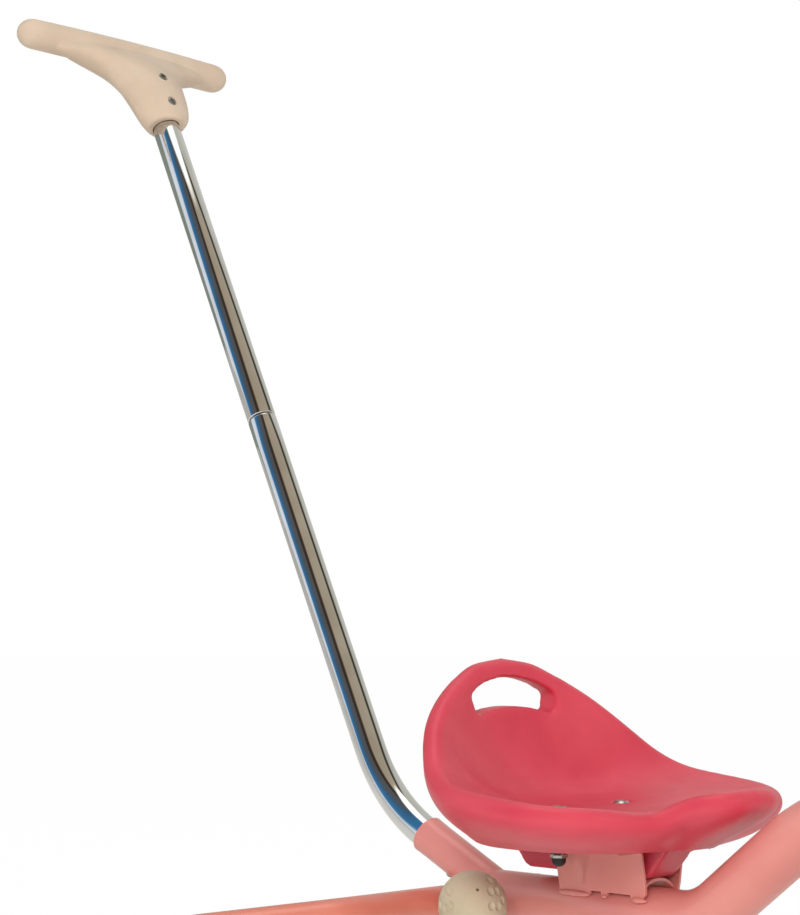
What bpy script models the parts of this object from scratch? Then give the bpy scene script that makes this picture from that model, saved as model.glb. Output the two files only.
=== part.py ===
"""A child's pedal tricycle with a seat, a parking brake and a push handle, in metres.

+X is forward, +Y is the rider's left and +Z is up. The origin lies on the floor, under the
middle of the whole tricycle's length and width. Places along the tricycle are first measured
forward of the seat bracket, and MIDDLE moves them to the origin.
"""

import math

import bmesh
import bpy
from mathutils import Matrix, Vector

# Fits between pieces
GAP = 0.0003            # between two pieces that rest on each other
RUNNING = 0.0004        # all round a shaft that turns in its bore
MIDDLE = 0.0445         # from the box's middle forward to the seat bracket's zero

# Main tube
TUBE_D = 0.040
TUBE_WALL = 0.0020
TUBE_Z = 0.236          # height of its level rear run
TUBE_BEND_F = 0.0714    # where the level run meets the rising run
TUBE_BEND_R = 0.056
TUBE_RISE = 38.5        # degrees, rising run
TUBE_KNEE_F = 0.152     # where the rising run flattens
TUBE_KNEE_R = 0.150
TUBE_TOP_RISE = 27.0    # degrees, last run into the head tube

# Head tube and steering axis
FRONT_WHEEL_D = 0.280
HEAD_ANGLE = 78.0       # degrees from the floor
HEAD_F = 0.324
HEAD_OVER_WHEEL = 0.100
HEAD_Z = FRONT_WHEEL_D + HEAD_OVER_WHEEL
HEAD_D = 0.036
HEAD_WALL = 0.0020
HEAD_LENGTH = 0.100
BUSH_FLANGE_T = 0.003
BUSH_DEPTH = 0.014
BUSH_FLANGE_D = 0.040
STEERER_D = 0.026
STEERER_WALL = 0.0015

# Fork
FORK_D = 0.020
FORK_WALL = 0.0018
FORK_HALF_WIDTH = 0.044
FORK_BEND_R = 0.029
FORK_OFFSET = 0.014     # of the axle in front of the steering axis
CROWN_DROP = 0.015      # from the lower bush down to the crown tube's middle
EYE_D = 0.030
EYE_LENGTH = 0.022
EYE_BUSH_WALL = 0.0035

# Front wheel and crank
FRONT_TYRE_H = 0.024
FRONT_TYRE_W = 0.036
FRONT_HUB_D = 0.046
FRONT_HUB_LENGTH = 0.060
CRANK_D = 0.012
CRANK_BEND_R = 0.014
CRANK_THROW = 0.075
CRANK_ARM_Y = 0.070
PEDAL_LENGTH = 0.072
PEDAL_WIDTH = 0.066
PEDAL_HEIGHT = 0.020
PEDAL_CAP_D = 0.022
PEDAL_CAP_T = 0.006

# Rear wheels and their axle
REAR_WHEEL_D = 0.210
REAR_TYRE_H = 0.021
REAR_TYRE_W = 0.034
REAR_HUB_D = 0.038
REAR_HUB_LENGTH = 0.044
REAR_AXLE_D = 0.012
WASHER_D = 0.026
WASHER_T = 0.0015
HUB_CAP_D = 0.030
HUB_CAP_T = 0.009

# Wheel bodies
RIM_T = 0.006
WEB_T = 0.012
SPOKES = 5
SPOKE_W = 0.024
WINDOW_MARGIN = 0.007
WINDOW_STEPS = 4        # points along each curved side of a window
WHEEL_BUSH_WALL = 0.0025
WHEEL_BUSH_DEPTH = 0.010
WHEEL_BUSH_LIP = 0.0015
WHEEL_BUSH_LIP_D = 0.024

# Rear arch
ARCH_D = 0.028
ARCH_WALL = 0.0018
ARCH_F = -0.182         # its level middle run
ARCH_Z = 0.2245
ARCH_MIDDLE_HALF = 0.104
TAIL_RISE = 0.0335       # the main tube's slanted rear end, over the arch
TAIL_RUN = 0.018
ARCH_SIDE_F = -0.269    # where the arms turn down
ARCH_TILT = 0.16        # drop for each metre that the arms sweep back
LEG_Y = 0.212
ARCH_BEND_R = 0.055
LEG_BEND_R = 0.040
LEG_OVERRUN = 0.014     # below the axle

# Handle socket
SOCKET_D = 0.029
SOCKET_BORE = 0.0256
SOCKET_ANGLE = 26.0     # degrees that its axis rises to the rear
SOCKET_MOUTH_F = -0.195
SOCKET_MOUTH_Z = 0.277
SOCKET_LENGTH = 0.094

# Push handle
HANDLE_D = 0.025
HANDLE_WALL = 0.0015
HANDLE_LEAN = 26.3      # degrees back from upright
HANDLE_INSERT = 0.070   # length inside the socket
HANDLE_CORNER = 0.0503  # from the socket's mouth to the bend's corner
HANDLE_BEND_R = 0.138
HANDLE_JOINT = 0.358    # from the corner to the joint ring
HANDLE_UPPER = 0.3675   # length of the upper tube
HANDLE_NECK = 0.060     # reduced end inside the upper tube
BUTTON_D = 0.006
BUTTON_PROUD = 0.0028
BUTTON_LIP_D = 0.009
BUTTON_LIP_T = 0.0012
SOCKET_BUTTON_IN = 0.034   # from the socket's mouth
JOINT_BUTTON_UP = 0.014    # above the joint ring

# T grip of the push handle
GRIP_RISE = 0.101          # from the neck's rim to the bar's middle
GRIP_SET_BACK = 0.0196     # of the bar behind the tube's axis
GRIP_HALF = 0.121
GRIP_SWEEP = 0.003
GRIP_BAR_R = 0.0148
GRIP_INSERT = 0.050        # of the upper tube inside the grip
GRIP_SCREW_D = 0.007
GRIP_SCREW_UP = 0.033      # from the neck's rim to the middle of the two screws
GRIP_SCREW_STEP = 0.030

# Seat bracket
PLATE_T = 0.0022
BRACKET_REAR_F = -0.043
BRACKET_FRONT_F = 0.037
FLANGE_TOP_Z = 0.2835
FLANGE_HALF = 0.049
BRACKET_TOP_HALF = 0.0225
BRACKET_FOOT_HALF = 0.0185
BRACKET_FOOT_Z = TUBE_Z + math.sqrt((TUBE_D / 2 + GAP) ** 2 - (BRACKET_FOOT_HALF - PLATE_T) ** 2)
SADDLE_LIFT = 0.0045

# Seat
SEAT_WALL = 0.0028
SEAT_FLOOR_Z = 0.309
SEAT_FLOOR_F = -0.010
RIM_OUT = 0.008         # from the rim's crest out to the skirt
RIM_DROP = 0.009        # from the rim's crest down to where the skirt begins
KEEL_HALF = 0.016
KEEL_Z = 0.263
SLOT_HALF = 0.0465
SLOT_LOW_Z = 0.3790
SLOT_HIGH_Z = 0.4005
SLOT_WALL = 0.0030
SEAT_BOLT_F = -0.029
SEAT_BOLT_Y = 0.035
SEAT_BOLT_D = 0.006
BOLT_HEAD_D = 0.014
BOLT_HEAD_T = 0.003
BOSS_D = 0.020
NUT_ACROSS = 0.011
NUT_T = 0.008
DOME_T = 0.005
NUT_FLANGE_T = 0.0016
NUT_BORE_OVERRUN = 0.0018   # past the nut, up into its dome

# Handlebar
BAR_D = 0.022
BAR_Z = 0.540
BAR_HALF = 0.158
BAR_RISE = 0.014
BAR_SWEEP = 0.004
BAR_BEND_R = 0.040
BAR_CENTRE_HALF = 0.030
COLUMN_INSERT = 0.120
CLAMP_D = 0.038
CLAMP_T = 0.022
CLAMP_SLIT = 0.0025
CLAMP_BOLT_D = 0.006
HAND_GRIP_LENGTH = 0.096
HAND_GRIP_D = 0.030
HAND_GRIP_FLANGE_D = 0.044
HAND_GRIP_END_T = 0.004

# Parking brake
BRAKE_ROD_D = 0.010
BRAKE_ARM = 0.0339      # from the rod to the tread, with the brake on
BRAKE_CLIP_T = 0.0025
BRAKE_CLIP_W = 0.014
BRAKE_CLIP_Y = 0.075
BRAKE_ARM_REST = 27.0   # degrees that the arms stand off the tyres at rest
BRAKE_BEND_R = 0.014
BOOT_D = 0.018
BOOT_LENGTH = 0.018
BOOT_END_T = 0.004
BOOT_CLEARANCE = 0.0008 # to the tread when the brake is on
KNOB_D = 0.050
KNOB_F = -0.093
KNOB_Y = -0.057
KNOB_Z = 0.237
LEVER_D = 0.008
LEVER_INSERT = 0.016
LEVER_BEND_R = 0.014

# Colours and finishes seen in the photograph
FINISHES = {
    "pink_paint": ((0.74, 0.25, 0.22), 0.30, 0.0),
    "seat_plastic": ((0.62, 0.055, 0.085), 0.38, 0.0),
    "cream_plastic": ((0.62, 0.50, 0.36), 0.42, 0.0),
    "chrome": ((0.75, 0.76, 0.78), 0.08, 1.0),
    "zinc_steel": ((0.55, 0.55, 0.56), 0.32, 1.0),
    "tyre_rubber": ((0.035, 0.033, 0.032), 0.70, 0.0),
    "black_plastic": ((0.02, 0.02, 0.022), 0.45, 0.0),
    "white_nylon": ((0.70, 0.69, 0.65), 0.50, 0.0),
}


def clear_scene():
    for obj in list(bpy.data.objects):
        bpy.data.objects.remove(obj, do_unlink=True)


def new_collection(name):
    collection = bpy.data.collections.new(name)
    bpy.context.scene.collection.children.link(collection)
    return collection


def make_materials():
    made = {}
    for name, (colour, roughness, metallic) in FINISHES.items():
        material = bpy.data.materials.new(name)
        material.use_nodes = True
        shader = material.node_tree.nodes["Principled BSDF"]
        shader.inputs["Base Color"].default_value = (*colour, 1.0)
        shader.inputs["Roughness"].default_value = roughness
        shader.inputs["Metallic"].default_value = metallic
        made[name] = material
    return made


clear_scene()
PARTS = new_collection("tricycle")
CUTTERS = new_collection("cutters")
MATERIALS = make_materials()


# Places and directions
def place(forward, left, up):
    """A point measured forward of the seat bracket, as one measured from the origin."""
    return Vector((forward + MIDDLE, left, up))


def turn_in_side_view(degrees):
    """The direction that rises by so many degrees from straight ahead."""
    angle = math.radians(degrees)
    return Vector((math.cos(angle), 0.0, math.sin(angle)))


def along(start, axis, across=None):
    """The matrix that stands local Z on an axis at a point, with local X as near across as can be."""
    z = Vector(axis).normalized()
    hint = Vector(across) if across is not None else Vector((0.0, 1.0, 0.0))
    if abs(hint.normalized().dot(z)) > 0.99:
        hint = Vector((1.0, 0.0, 0.0))
    x = (hint - z * hint.dot(z)).normalized()
    y = z.cross(x)
    matrix = Matrix((x, y, z)).transposed().to_4x4()
    matrix.translation = start
    return matrix


# Making solids
def add_object(name, data, finish=None, matrix=None):
    obj = bpy.data.objects.new(name, data)
    if finish is None:
        CUTTERS.objects.link(obj)
        obj.hide_render = True
        obj.display_type = "WIRE"
    else:
        PARTS.objects.link(obj)
        data.materials.append(MATERIALS[finish])
    if matrix is not None:
        obj.matrix_world = matrix
    return obj


def turned(name, profile, finish, matrix, closed=False, steps=16):
    """A shape turned about local Z from points of radius and height, outer side top to bottom."""
    mesh = bpy.data.meshes.new(name)
    edges = [(i, i + 1) for i in range(len(profile) - 1)]
    if closed:
        edges.append((len(profile) - 1, 0))
    mesh.from_pydata([(radius, 0.0, height) for radius, height in profile], edges, [])
    obj = add_object(name, mesh, finish, matrix)
    screw = obj.modifiers.new("Turn", "SCREW")
    screw.steps = screw.render_steps = steps
    screw.use_merge_vertices = True
    screw.merge_threshold = 0.000001
    screw.use_smooth_shade = True
    return obj


SEAM_SIDE = Vector((0.23, 1.0, 0.11))


def rod(name, start, end, diameter, finish, chamfer=0.0, steps=16):
    """A solid round bar between two points."""
    length = (Vector(end) - Vector(start)).length
    radius = diameter / 2
    profile = [(0.0, length), (radius - chamfer, length)]
    if chamfer:
        profile += [(radius, length - chamfer), (radius, chamfer)]
    profile += [(radius - chamfer, 0.0), (0.0, 0.0)]
    matrix = along(start, Vector(end) - Vector(start), SEAM_SIDE)
    return turned(name, profile, finish, matrix, steps=steps)


def pipe(name, start, end, outer, bore, finish, steps=16):
    """A straight round tube between two points."""
    length = (Vector(end) - Vector(start)).length
    profile = [(outer / 2, length), (outer / 2, 0.0), (bore / 2, 0.0), (bore / 2, length)]
    matrix = along(start, Vector(end) - Vector(start))
    return turned(name, profile, finish, matrix, closed=True, steps=steps)


def bent_path(corners, radii, step_degrees=12.0):
    """The middle line of a bent tube: straight runs joined by arcs at the inner corners."""
    corners = [Vector(corner) for corner in corners]
    points = [corners[0]]
    for before, corner, after, radius in zip(corners, corners[1:], corners[2:], radii):
        back = (before - corner).normalized()
        ahead = (after - corner).normalized()
        turn = math.pi - back.angle(ahead)
        reach = radius * math.tan(turn / 2)
        centre = corner + (back + ahead).normalized() * radius / math.cos(turn / 2)
        first = corner + back * reach - centre
        axis = back.cross(ahead)
        count = max(2, math.ceil(math.degrees(turn) / step_degrees))
        for i in range(count + 1):
            spun = Matrix.Rotation(-turn * i / count, 3, axis) @ first
            points.append(centre + spun)
    points.append(corners[-1])
    return points


def swept(name, points, radii, sides, caps):
    """A round section drawn along points, as a mesh object that is not yet linked."""
    curve = bpy.data.curves.new(name, "CURVE")
    curve.dimensions = "3D"
    curve.bevel_depth = 1.0
    curve.bevel_resolution = (sides - 4) // 2
    curve.use_fill_caps = caps
    spline = curve.splines.new("POLY")
    spline.points.add(len(points) - 1)
    for point, place_of_it, radius in zip(spline.points, points, radii):
        point.co = (*place_of_it, 1.0)
        point.radius = radius
    guide = bpy.data.objects.new(name, curve)
    bpy.context.scene.collection.objects.link(guide)
    bpy.context.view_layer.update()
    graph = bpy.context.evaluated_depsgraph_get()
    mesh = bpy.data.meshes.new_from_object(guide.evaluated_get(graph))
    bpy.data.objects.remove(guide, do_unlink=True)
    work = bmesh.new()
    work.from_mesh(mesh)
    bmesh.ops.remove_doubles(work, verts=work.verts, dist=0.000001)
    bmesh.ops.recalc_face_normals(work, faces=work.faces)
    work.to_mesh(mesh)
    work.free()
    mesh.materials.clear()
    mesh.shade_smooth()
    mesh.set_sharp_from_angle(angle=math.radians(40))
    return mesh


def bent_rod(name, points, diameter, finish, sides=12):
    mesh = swept(name, points, [diameter / 2] * len(points), sides, True)
    return add_object(name, mesh, finish)


def bent_tube(name, points, diameter, wall, finish, sides=16, radii=None):
    """A hollow bent tube with open ends, of one diameter unless it is given a radius per point."""
    mesh = swept(name, points, radii or [diameter / 2] * len(points), sides, False)
    obj = add_object(name, mesh, finish)
    shell = obj.modifiers.new("Wall", "SOLIDIFY")
    shell.thickness = wall
    shell.offset = -1.0
    shell.use_even_offset = True
    return obj


def flat_outline(name, outline, thickness, finish, matrix):
    """A plate whose outline lies in local X and Y, half its thickness to each side."""
    curve = bpy.data.curves.new(name, "CURVE")
    curve.dimensions = "2D"
    curve.fill_mode = "BOTH"
    curve.extrude = thickness / 2
    spline = curve.splines.new("POLY")
    spline.points.add(len(outline) - 1)
    for point, (x, y) in zip(spline.points, outline):
        point.co = (x, y, 0.0, 1.0)
    spline.use_cyclic_u = True
    guide = bpy.data.objects.new(name, curve)
    bpy.context.scene.collection.objects.link(guide)
    bpy.context.view_layer.update()
    graph = bpy.context.evaluated_depsgraph_get()
    mesh = bpy.data.meshes.new_from_object(guide.evaluated_get(graph))
    bpy.data.objects.remove(guide, do_unlink=True)
    work = bmesh.new()
    work.from_mesh(mesh)
    bmesh.ops.remove_doubles(work, verts=work.verts, dist=0.000001)
    bmesh.ops.recalc_face_normals(work, faces=work.faces)
    work.to_mesh(mesh)
    work.free()
    mesh.materials.clear()
    return add_object(name, mesh, finish, matrix)


def combine(target, tool, operation="DIFFERENCE"):
    cut = target.modifiers.new(operation.title(), "BOOLEAN")
    cut.operation = operation
    cut.solver = "EXACT"
    cut.object = tool
    return target


def side_name(side):
    return "left" if side > 0 else "right"


# The rear axle lies as far behind the brake rod as the brake's arms reach
BRAKE_F = ARCH_F
BRAKE_Z = ARCH_Z - ARCH_D / 2 - BRAKE_CLIP_T - BRAKE_ROD_D / 2 - RUNNING
REAR_CENTRE_Z = REAR_WHEEL_D / 2
BRAKE_TO_AXLE = REAR_WHEEL_D / 2 + BOOT_CLEARANCE + BRAKE_ARM
REAR_AXLE_F = BRAKE_F - math.sqrt(BRAKE_TO_AXLE ** 2 - (BRAKE_Z - REAR_CENTRE_Z) ** 2)


# Frame
STEER_UP = turn_in_side_view(180.0 - HEAD_ANGLE)
HEAD_MIDDLE = place(HEAD_F, 0.0, HEAD_Z)


def on_steering_axis(up):
    """A point on the steering axis, so far above the head tube's middle."""
    return HEAD_MIDDLE + STEER_UP * up


def main_tube_path():
    rise = math.tan(math.radians(TUBE_RISE))
    knee_z = TUBE_Z + (TUBE_KNEE_F - TUBE_BEND_F) * rise
    end_z = knee_z + (HEAD_F - TUBE_KNEE_F) * math.tan(math.radians(TUBE_TOP_RISE))
    corners = [
        place(ARCH_F, 0.0, TUBE_Z),
        place(TUBE_BEND_F, 0.0, TUBE_Z),
        place(TUBE_KNEE_F, 0.0, knee_z),
        place(HEAD_F, 0.0, end_z),
    ]
    return bent_path(corners, [TUBE_BEND_R, TUBE_KNEE_R], 8.0)


def arch_corners():
    sweep = ARCH_SIDE_F - ARCH_F
    side_z = ARCH_Z + ARCH_TILT * sweep
    half = [
        Vector((ARCH_F, ARCH_MIDDLE_HALF, ARCH_Z)),
        Vector((ARCH_SIDE_F, LEG_Y, side_z)),
        Vector((REAR_AXLE_F, LEG_Y, REAR_WHEEL_D / 2 - LEG_OVERRUN)),
    ]
    right = [place(point.x, -point.y, point.z) for point in reversed(half)]
    left = [place(*point) for point in half]
    return right + left


SOCKET_OUT = turn_in_side_view(180.0 - SOCKET_ANGLE)
SOCKET_MOUTH = place(SOCKET_MOUTH_F, 0.0, SOCKET_MOUTH_Z)


def across_tricycle(name, forward, up, half, diameter):
    """A round cutter from side to side."""
    return rod(name, place(forward, -half, up), place(forward, half, up), diameter, None)


def make_frame():
    tube = bent_tube("main_tube", main_tube_path(), TUBE_D, TUBE_WALL, "pink_paint", 18)
    tail_z = ARCH_Z + TAIL_RISE
    tail = [
        (ARCH_F - TUBE_D, ARCH_Z), (ARCH_F + ARCH_D / 2, ARCH_Z),
        (ARCH_F + ARCH_D / 2 + TAIL_RUN, tail_z), (ARCH_F + ARCH_D / 2 + TAIL_RUN, TUBE_Z + TUBE_D),
        (ARCH_F - TUBE_D, TUBE_Z + TUBE_D),
    ]
    seen_from_side = along(place(0.0, 0.0, 0.0), Vector((0.0, -1.0, 0.0)), Vector((1.0, 0.0, 0.0)))
    combine(tube, flat_outline("cut_tube_tail", tail, 2 * TUBE_D, None, seen_from_side))
    arch_space = across_tricycle("cut_arch", ARCH_F, ARCH_Z, TUBE_D, ARCH_D + 2 * GAP)
    combine(tube, arch_space)
    head_half = STEER_UP * HEAD_LENGTH
    combine(tube, rod("cut_head", HEAD_MIDDLE - head_half, HEAD_MIDDLE + head_half,
                      HEAD_D + 2 * GAP, None, steps=24))
    beyond = STEER_UP.cross(Vector((0.0, 1.0, 0.0)))
    combine(tube, rod("cut_past_head", HEAD_MIDDLE + beyond * HEAD_D * 0.1,
                      HEAD_MIDDLE - beyond * TUBE_D, HEAD_LENGTH, None))
    combine(tube, rod("cut_socket", SOCKET_MOUTH, SOCKET_MOUTH - SOCKET_OUT * SOCKET_LENGTH,
                      SOCKET_D + 2 * GAP, None))

    pipe("head_tube", on_steering_axis(-HEAD_LENGTH / 2), on_steering_axis(HEAD_LENGTH / 2),
         HEAD_D, HEAD_D - 2 * HEAD_WALL, "pink_paint", steps=24)

    socket = pipe("handle_socket", SOCKET_MOUTH - SOCKET_OUT * (SOCKET_LENGTH - GAP),
                  SOCKET_MOUTH, SOCKET_D, SOCKET_BORE, "pink_paint")
    combine(socket, button_hole("cut_socket_button", socket_button_place(), SOCKET_DOWN))

    radii = [LEG_BEND_R, ARCH_BEND_R, ARCH_BEND_R, LEG_BEND_R]
    arch = bent_tube("rear_arch", bent_path(arch_corners(), radii, 18.0), ARCH_D, ARCH_WALL,
                     "pink_paint", 12)
    combine(arch, across_tricycle("cut_axle", REAR_AXLE_F, REAR_WHEEL_D / 2, LEG_Y * 1.3,
                                  REAR_AXLE_D + 2 * RUNNING))


# Push handle
HANDLE_UP = turn_in_side_view(90.0 + HANDLE_LEAN)
HANDLE_BACK = turn_in_side_view(180.0 + HANDLE_LEAN)
SOCKET_DOWN = turn_in_side_view(270.0 - SOCKET_ANGLE)
HANDLE_TURN = SOCKET_MOUTH + SOCKET_OUT * HANDLE_CORNER
HANDLE_JOINT_AT = HANDLE_TURN + HANDLE_UP * HANDLE_JOINT
HANDLE_TOP = HANDLE_JOINT_AT + HANDLE_UP * HANDLE_UPPER
NECK_D = HANDLE_D - 2 * HANDLE_WALL - 2 * GAP


def button_hole(name, middle, direction):
    return rod(name, middle, middle + direction * HANDLE_D, BUTTON_D + 2 * RUNNING, None, steps=16)


def socket_button_place():
    return SOCKET_MOUTH - SOCKET_OUT * SOCKET_BUTTON_IN


def lip_height(bore, radius):
    """How high a disc of a radius can stand inside a tube's bore."""
    return math.sqrt((bore / 2) ** 2 - radius ** 2) - 2 * GAP


def snap_button(name, middle, direction, bore, outside):
    """A domed button on a lip that lies inside a tube's bore, reaching out past the outer tube."""
    top = outside / 2 + BUTTON_PROUD
    radius, lip_radius = BUTTON_D / 2, BUTTON_LIP_D / 2
    shoulder = lip_height(bore, radius)
    lip = lip_height(bore, lip_radius)
    profile = [
        (0.0, top),
        (radius * 0.6, top - 0.0004),
        (radius, top - 0.0014),
        (radius, shoulder),
        (lip_radius, lip),
        (lip_radius, lip - BUTTON_LIP_T),
        (0.0, lip - BUTTON_LIP_T),
    ]
    turned(name, profile, "zinc_steel", along(middle, direction), steps=16)


def make_push_handle():
    inner_end = SOCKET_MOUTH - SOCKET_OUT * HANDLE_INSERT
    shoulder = HANDLE_JOINT_AT - HANDLE_UP * 0.0005
    path = bent_path([inner_end, HANDLE_TURN, shoulder], [HANDLE_BEND_R], 8.0)
    radii = [HANDLE_D / 2] * len(path)
    path += [HANDLE_JOINT_AT + HANDLE_UP * up for up in (0.0005, HANDLE_NECK)]
    lower = bent_tube("lower_push_tube", path, HANDLE_D, HANDLE_WALL, "chrome", 16,
                      radii + [NECK_D / 2] * 2)
    joint_button = HANDLE_JOINT_AT + HANDLE_UP * JOINT_BUTTON_UP
    joint_hole = button_hole("cut_joint_button", joint_button, HANDLE_BACK)
    combine(lower, joint_hole)
    combine(lower, button_hole("cut_lower_button", socket_button_place(), SOCKET_DOWN))

    upper = pipe("upper_push_tube", HANDLE_JOINT_AT + HANDLE_UP * 2 * GAP, HANDLE_TOP, HANDLE_D,
                 HANDLE_D - 2 * HANDLE_WALL, "chrome")
    combine(upper, joint_hole)

    snap_button("socket_button", socket_button_place(), SOCKET_DOWN,
                HANDLE_D - 2 * HANDLE_WALL, SOCKET_D)
    snap_button("joint_button", joint_button, HANDLE_BACK, NECK_D - 2 * HANDLE_WALL, HANDLE_D)


# The neck from its rim up into the bar, as shares of the rise: height, half width, front, back
GRIP_NECK = [
    (0.00, 0.0200, 0.0165, 0.0155), (0.04, 0.0260, 0.0175, 0.0165), (0.10, 0.0305, 0.0183, 0.0175),
    (0.22, 0.0335, 0.0187, 0.0190), (0.36, 0.0375, 0.0187, 0.0220), (0.48, 0.0430, 0.0178, 0.0255),
    (0.56, 0.0470, 0.0155, 0.0280), (0.63, 0.0520, 0.0125, 0.0300), (0.70, 0.0620, 0.0092, 0.0315),
    (0.77, 0.0800, 0.0055, 0.0325), (0.85, 0.0950, 0.0010, 0.0330), (0.96, 0.0900, -0.0070, 0.0315),
]


def oval_tube(name, stations, sides):
    """A closed body through ovals, each given by its matrix."""
    work = bmesh.new()
    ring = bmesh.ops.create_circle(work, cap_ends=True, radius=1.0, segments=sides)["verts"]
    bmesh.ops.transform(work, matrix=stations[0], verts=ring)
    last = stations[0]
    edges = [edge for edge in work.edges]
    for matrix in stations[1:]:
        made = bmesh.ops.extrude_edge_only(work, edges=edges)["geom"]
        edges = [item for item in made if isinstance(item, bmesh.types.BMEdge)]
        verts = [item for item in made if isinstance(item, bmesh.types.BMVert)]
        bmesh.ops.transform(work, matrix=matrix @ last.inverted(), verts=verts)
        last = matrix
    bmesh.ops.holes_fill(work, edges=edges)
    bmesh.ops.recalc_face_normals(work, faces=work.faces)
    mesh = bpy.data.meshes.new(name)
    work.to_mesh(mesh)
    work.free()
    mesh.shade_smooth()
    return mesh


def make_t_grip():
    """The moulded T: a bar with rounded ends on a flared neck that goes round the upper tube."""
    rim = HANDLE_TOP - HANDLE_UP * GRIP_INSERT
    middle = rim + HANDLE_UP * GRIP_RISE + HANDLE_BACK * GRIP_SET_BACK
    points, radii = [], []
    stations = 15
    for i in range(stations):
        share = math.sin(math.radians(180 * i / (stations - 1) - 90))
        points.append(middle + Vector((-GRIP_SWEEP * share * share, share * GRIP_HALF, 0.0)))
        past = max(0.0, abs(share) * GRIP_HALF - GRIP_HALF + GRIP_BAR_R) / GRIP_BAR_R
        end = max(0.35, math.sqrt(max(0.0, 1 - past * past)))
        radii.append(GRIP_BAR_R * (0.93 + 0.07 * (1 - share * share)) * end)
    grip = add_object("push_grip", swept("push_grip", points, radii, 14, True), "cream_plastic")
    level = along(rim, HANDLE_UP)
    ovals = []
    for share, wide, front, back in GRIP_NECK:
        centre = level @ Vector((0.0, 0.0, share * GRIP_RISE)) - HANDLE_BACK * (front - back) / 2
        oval = along(centre, HANDLE_UP) @ Matrix.Diagonal((wide, (front + back) / 2, 1.0, 1.0))
        ovals.append(oval)
    neck = add_object("join_grip_neck", oval_tube("join_grip_neck", ovals, 22))
    combine(grip, neck, "UNION")
    bore = rod("cut_grip_bore", rim - HANDLE_UP * GRIP_INSERT, HANDLE_TOP + HANDLE_UP * GAP,
               HANDLE_D + 2 * GAP, None)
    combine(grip, bore)
    front = -HANDLE_BACK
    for number, step in enumerate((0.5, -0.5), 1):
        at = rim + HANDLE_UP * (GRIP_SCREW_UP + step * GRIP_SCREW_STEP)
        head = at + front * (HANDLE_D / 2 + 0.002)
        combine(grip, rod(f"cut_screw_{number}", head, head + front * HANDLE_D,
                          GRIP_SCREW_D + 4 * GAP, None))
        rod(f"grip_screw_{number}", head + front * GAP, head + front * 0.0025, GRIP_SCREW_D,
            "zinc_steel")


# Seat bracket
def make_bracket():
    """A folded hat section: two plates with flanges turned out, tied by a saddle over the tube."""
    middle_f = (BRACKET_REAR_F + BRACKET_FRONT_F) / 2
    length = BRACKET_FRONT_F - BRACKET_REAR_F
    top = FLANGE_TOP_Z
    bend = 0.003
    fold = PLATE_T
    # the plate's section, from the flange's edge in to the foot and back under the flange
    section = [(FLANGE_HALF, top), (BRACKET_TOP_HALF + bend - fold, top)]
    section += [(BRACKET_TOP_HALF - fold, top - bend), (BRACKET_FOOT_HALF - fold, BRACKET_FOOT_Z)]
    section += [(BRACKET_FOOT_HALF, BRACKET_FOOT_Z), (BRACKET_TOP_HALF, top - bend - fold * 0.5)]
    section += [(BRACKET_TOP_HALF + bend * 0.8, top - fold), (FLANGE_HALF, top - fold)]
    matrix = along(place(middle_f, 0.0, 0.0), Vector((1.0, 0.0, 0.0)), Vector((0.0, 1.0, 0.0)))
    bracket = flat_outline("seat_bracket", section, length, "pink_paint", matrix)
    other = flat_outline("join_plate", [(-y, z) for y, z in reversed(section)], length, None, matrix)
    combine(bracket, other, "UNION")
    saddle = []
    arc = 10
    inside = TUBE_D / 2 + SADDLE_LIFT
    reach = math.degrees(math.asin((BRACKET_FOOT_HALF - fold * 0.5) / inside))
    for i in range(arc + 1):
        angle = math.radians(90 - reach + 2 * reach * i / arc)
        saddle.append((inside * math.cos(angle), TUBE_Z + inside * math.sin(angle)))
    for i in range(arc + 1):
        angle = math.radians(90 + reach - 2 * reach * i / arc)
        outside = inside + PLATE_T
        saddle.append((outside * math.cos(angle), TUBE_Z + outside * math.sin(angle)))
    web = flat_outline("join_saddle", saddle, length - 0.008, None, matrix)
    combine(bracket, web, "UNION")
    for side in (1, -1):
        hole = place(SEAT_BOLT_F, side * SEAT_BOLT_Y, FLANGE_TOP_Z)
        reach = Vector((0.0, 0.0, 2 * PLATE_T))
        combine(bracket, rod(f"cut_flange_{side_name(side)}", hole - reach, hole + reach,
                             SEAT_BOLT_D + 2 * GAP, None))


# Seat
SEAT_BASE_Z = FLANGE_TOP_Z + GAP
BOLT_SEAT_Z = SEAT_FLOOR_Z - 0.0015
SEAT_CUT_TOP_Z = 0.400    # over the pan where the bolts go
UP = Vector((0.0, 0.0, 1.0))
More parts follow.
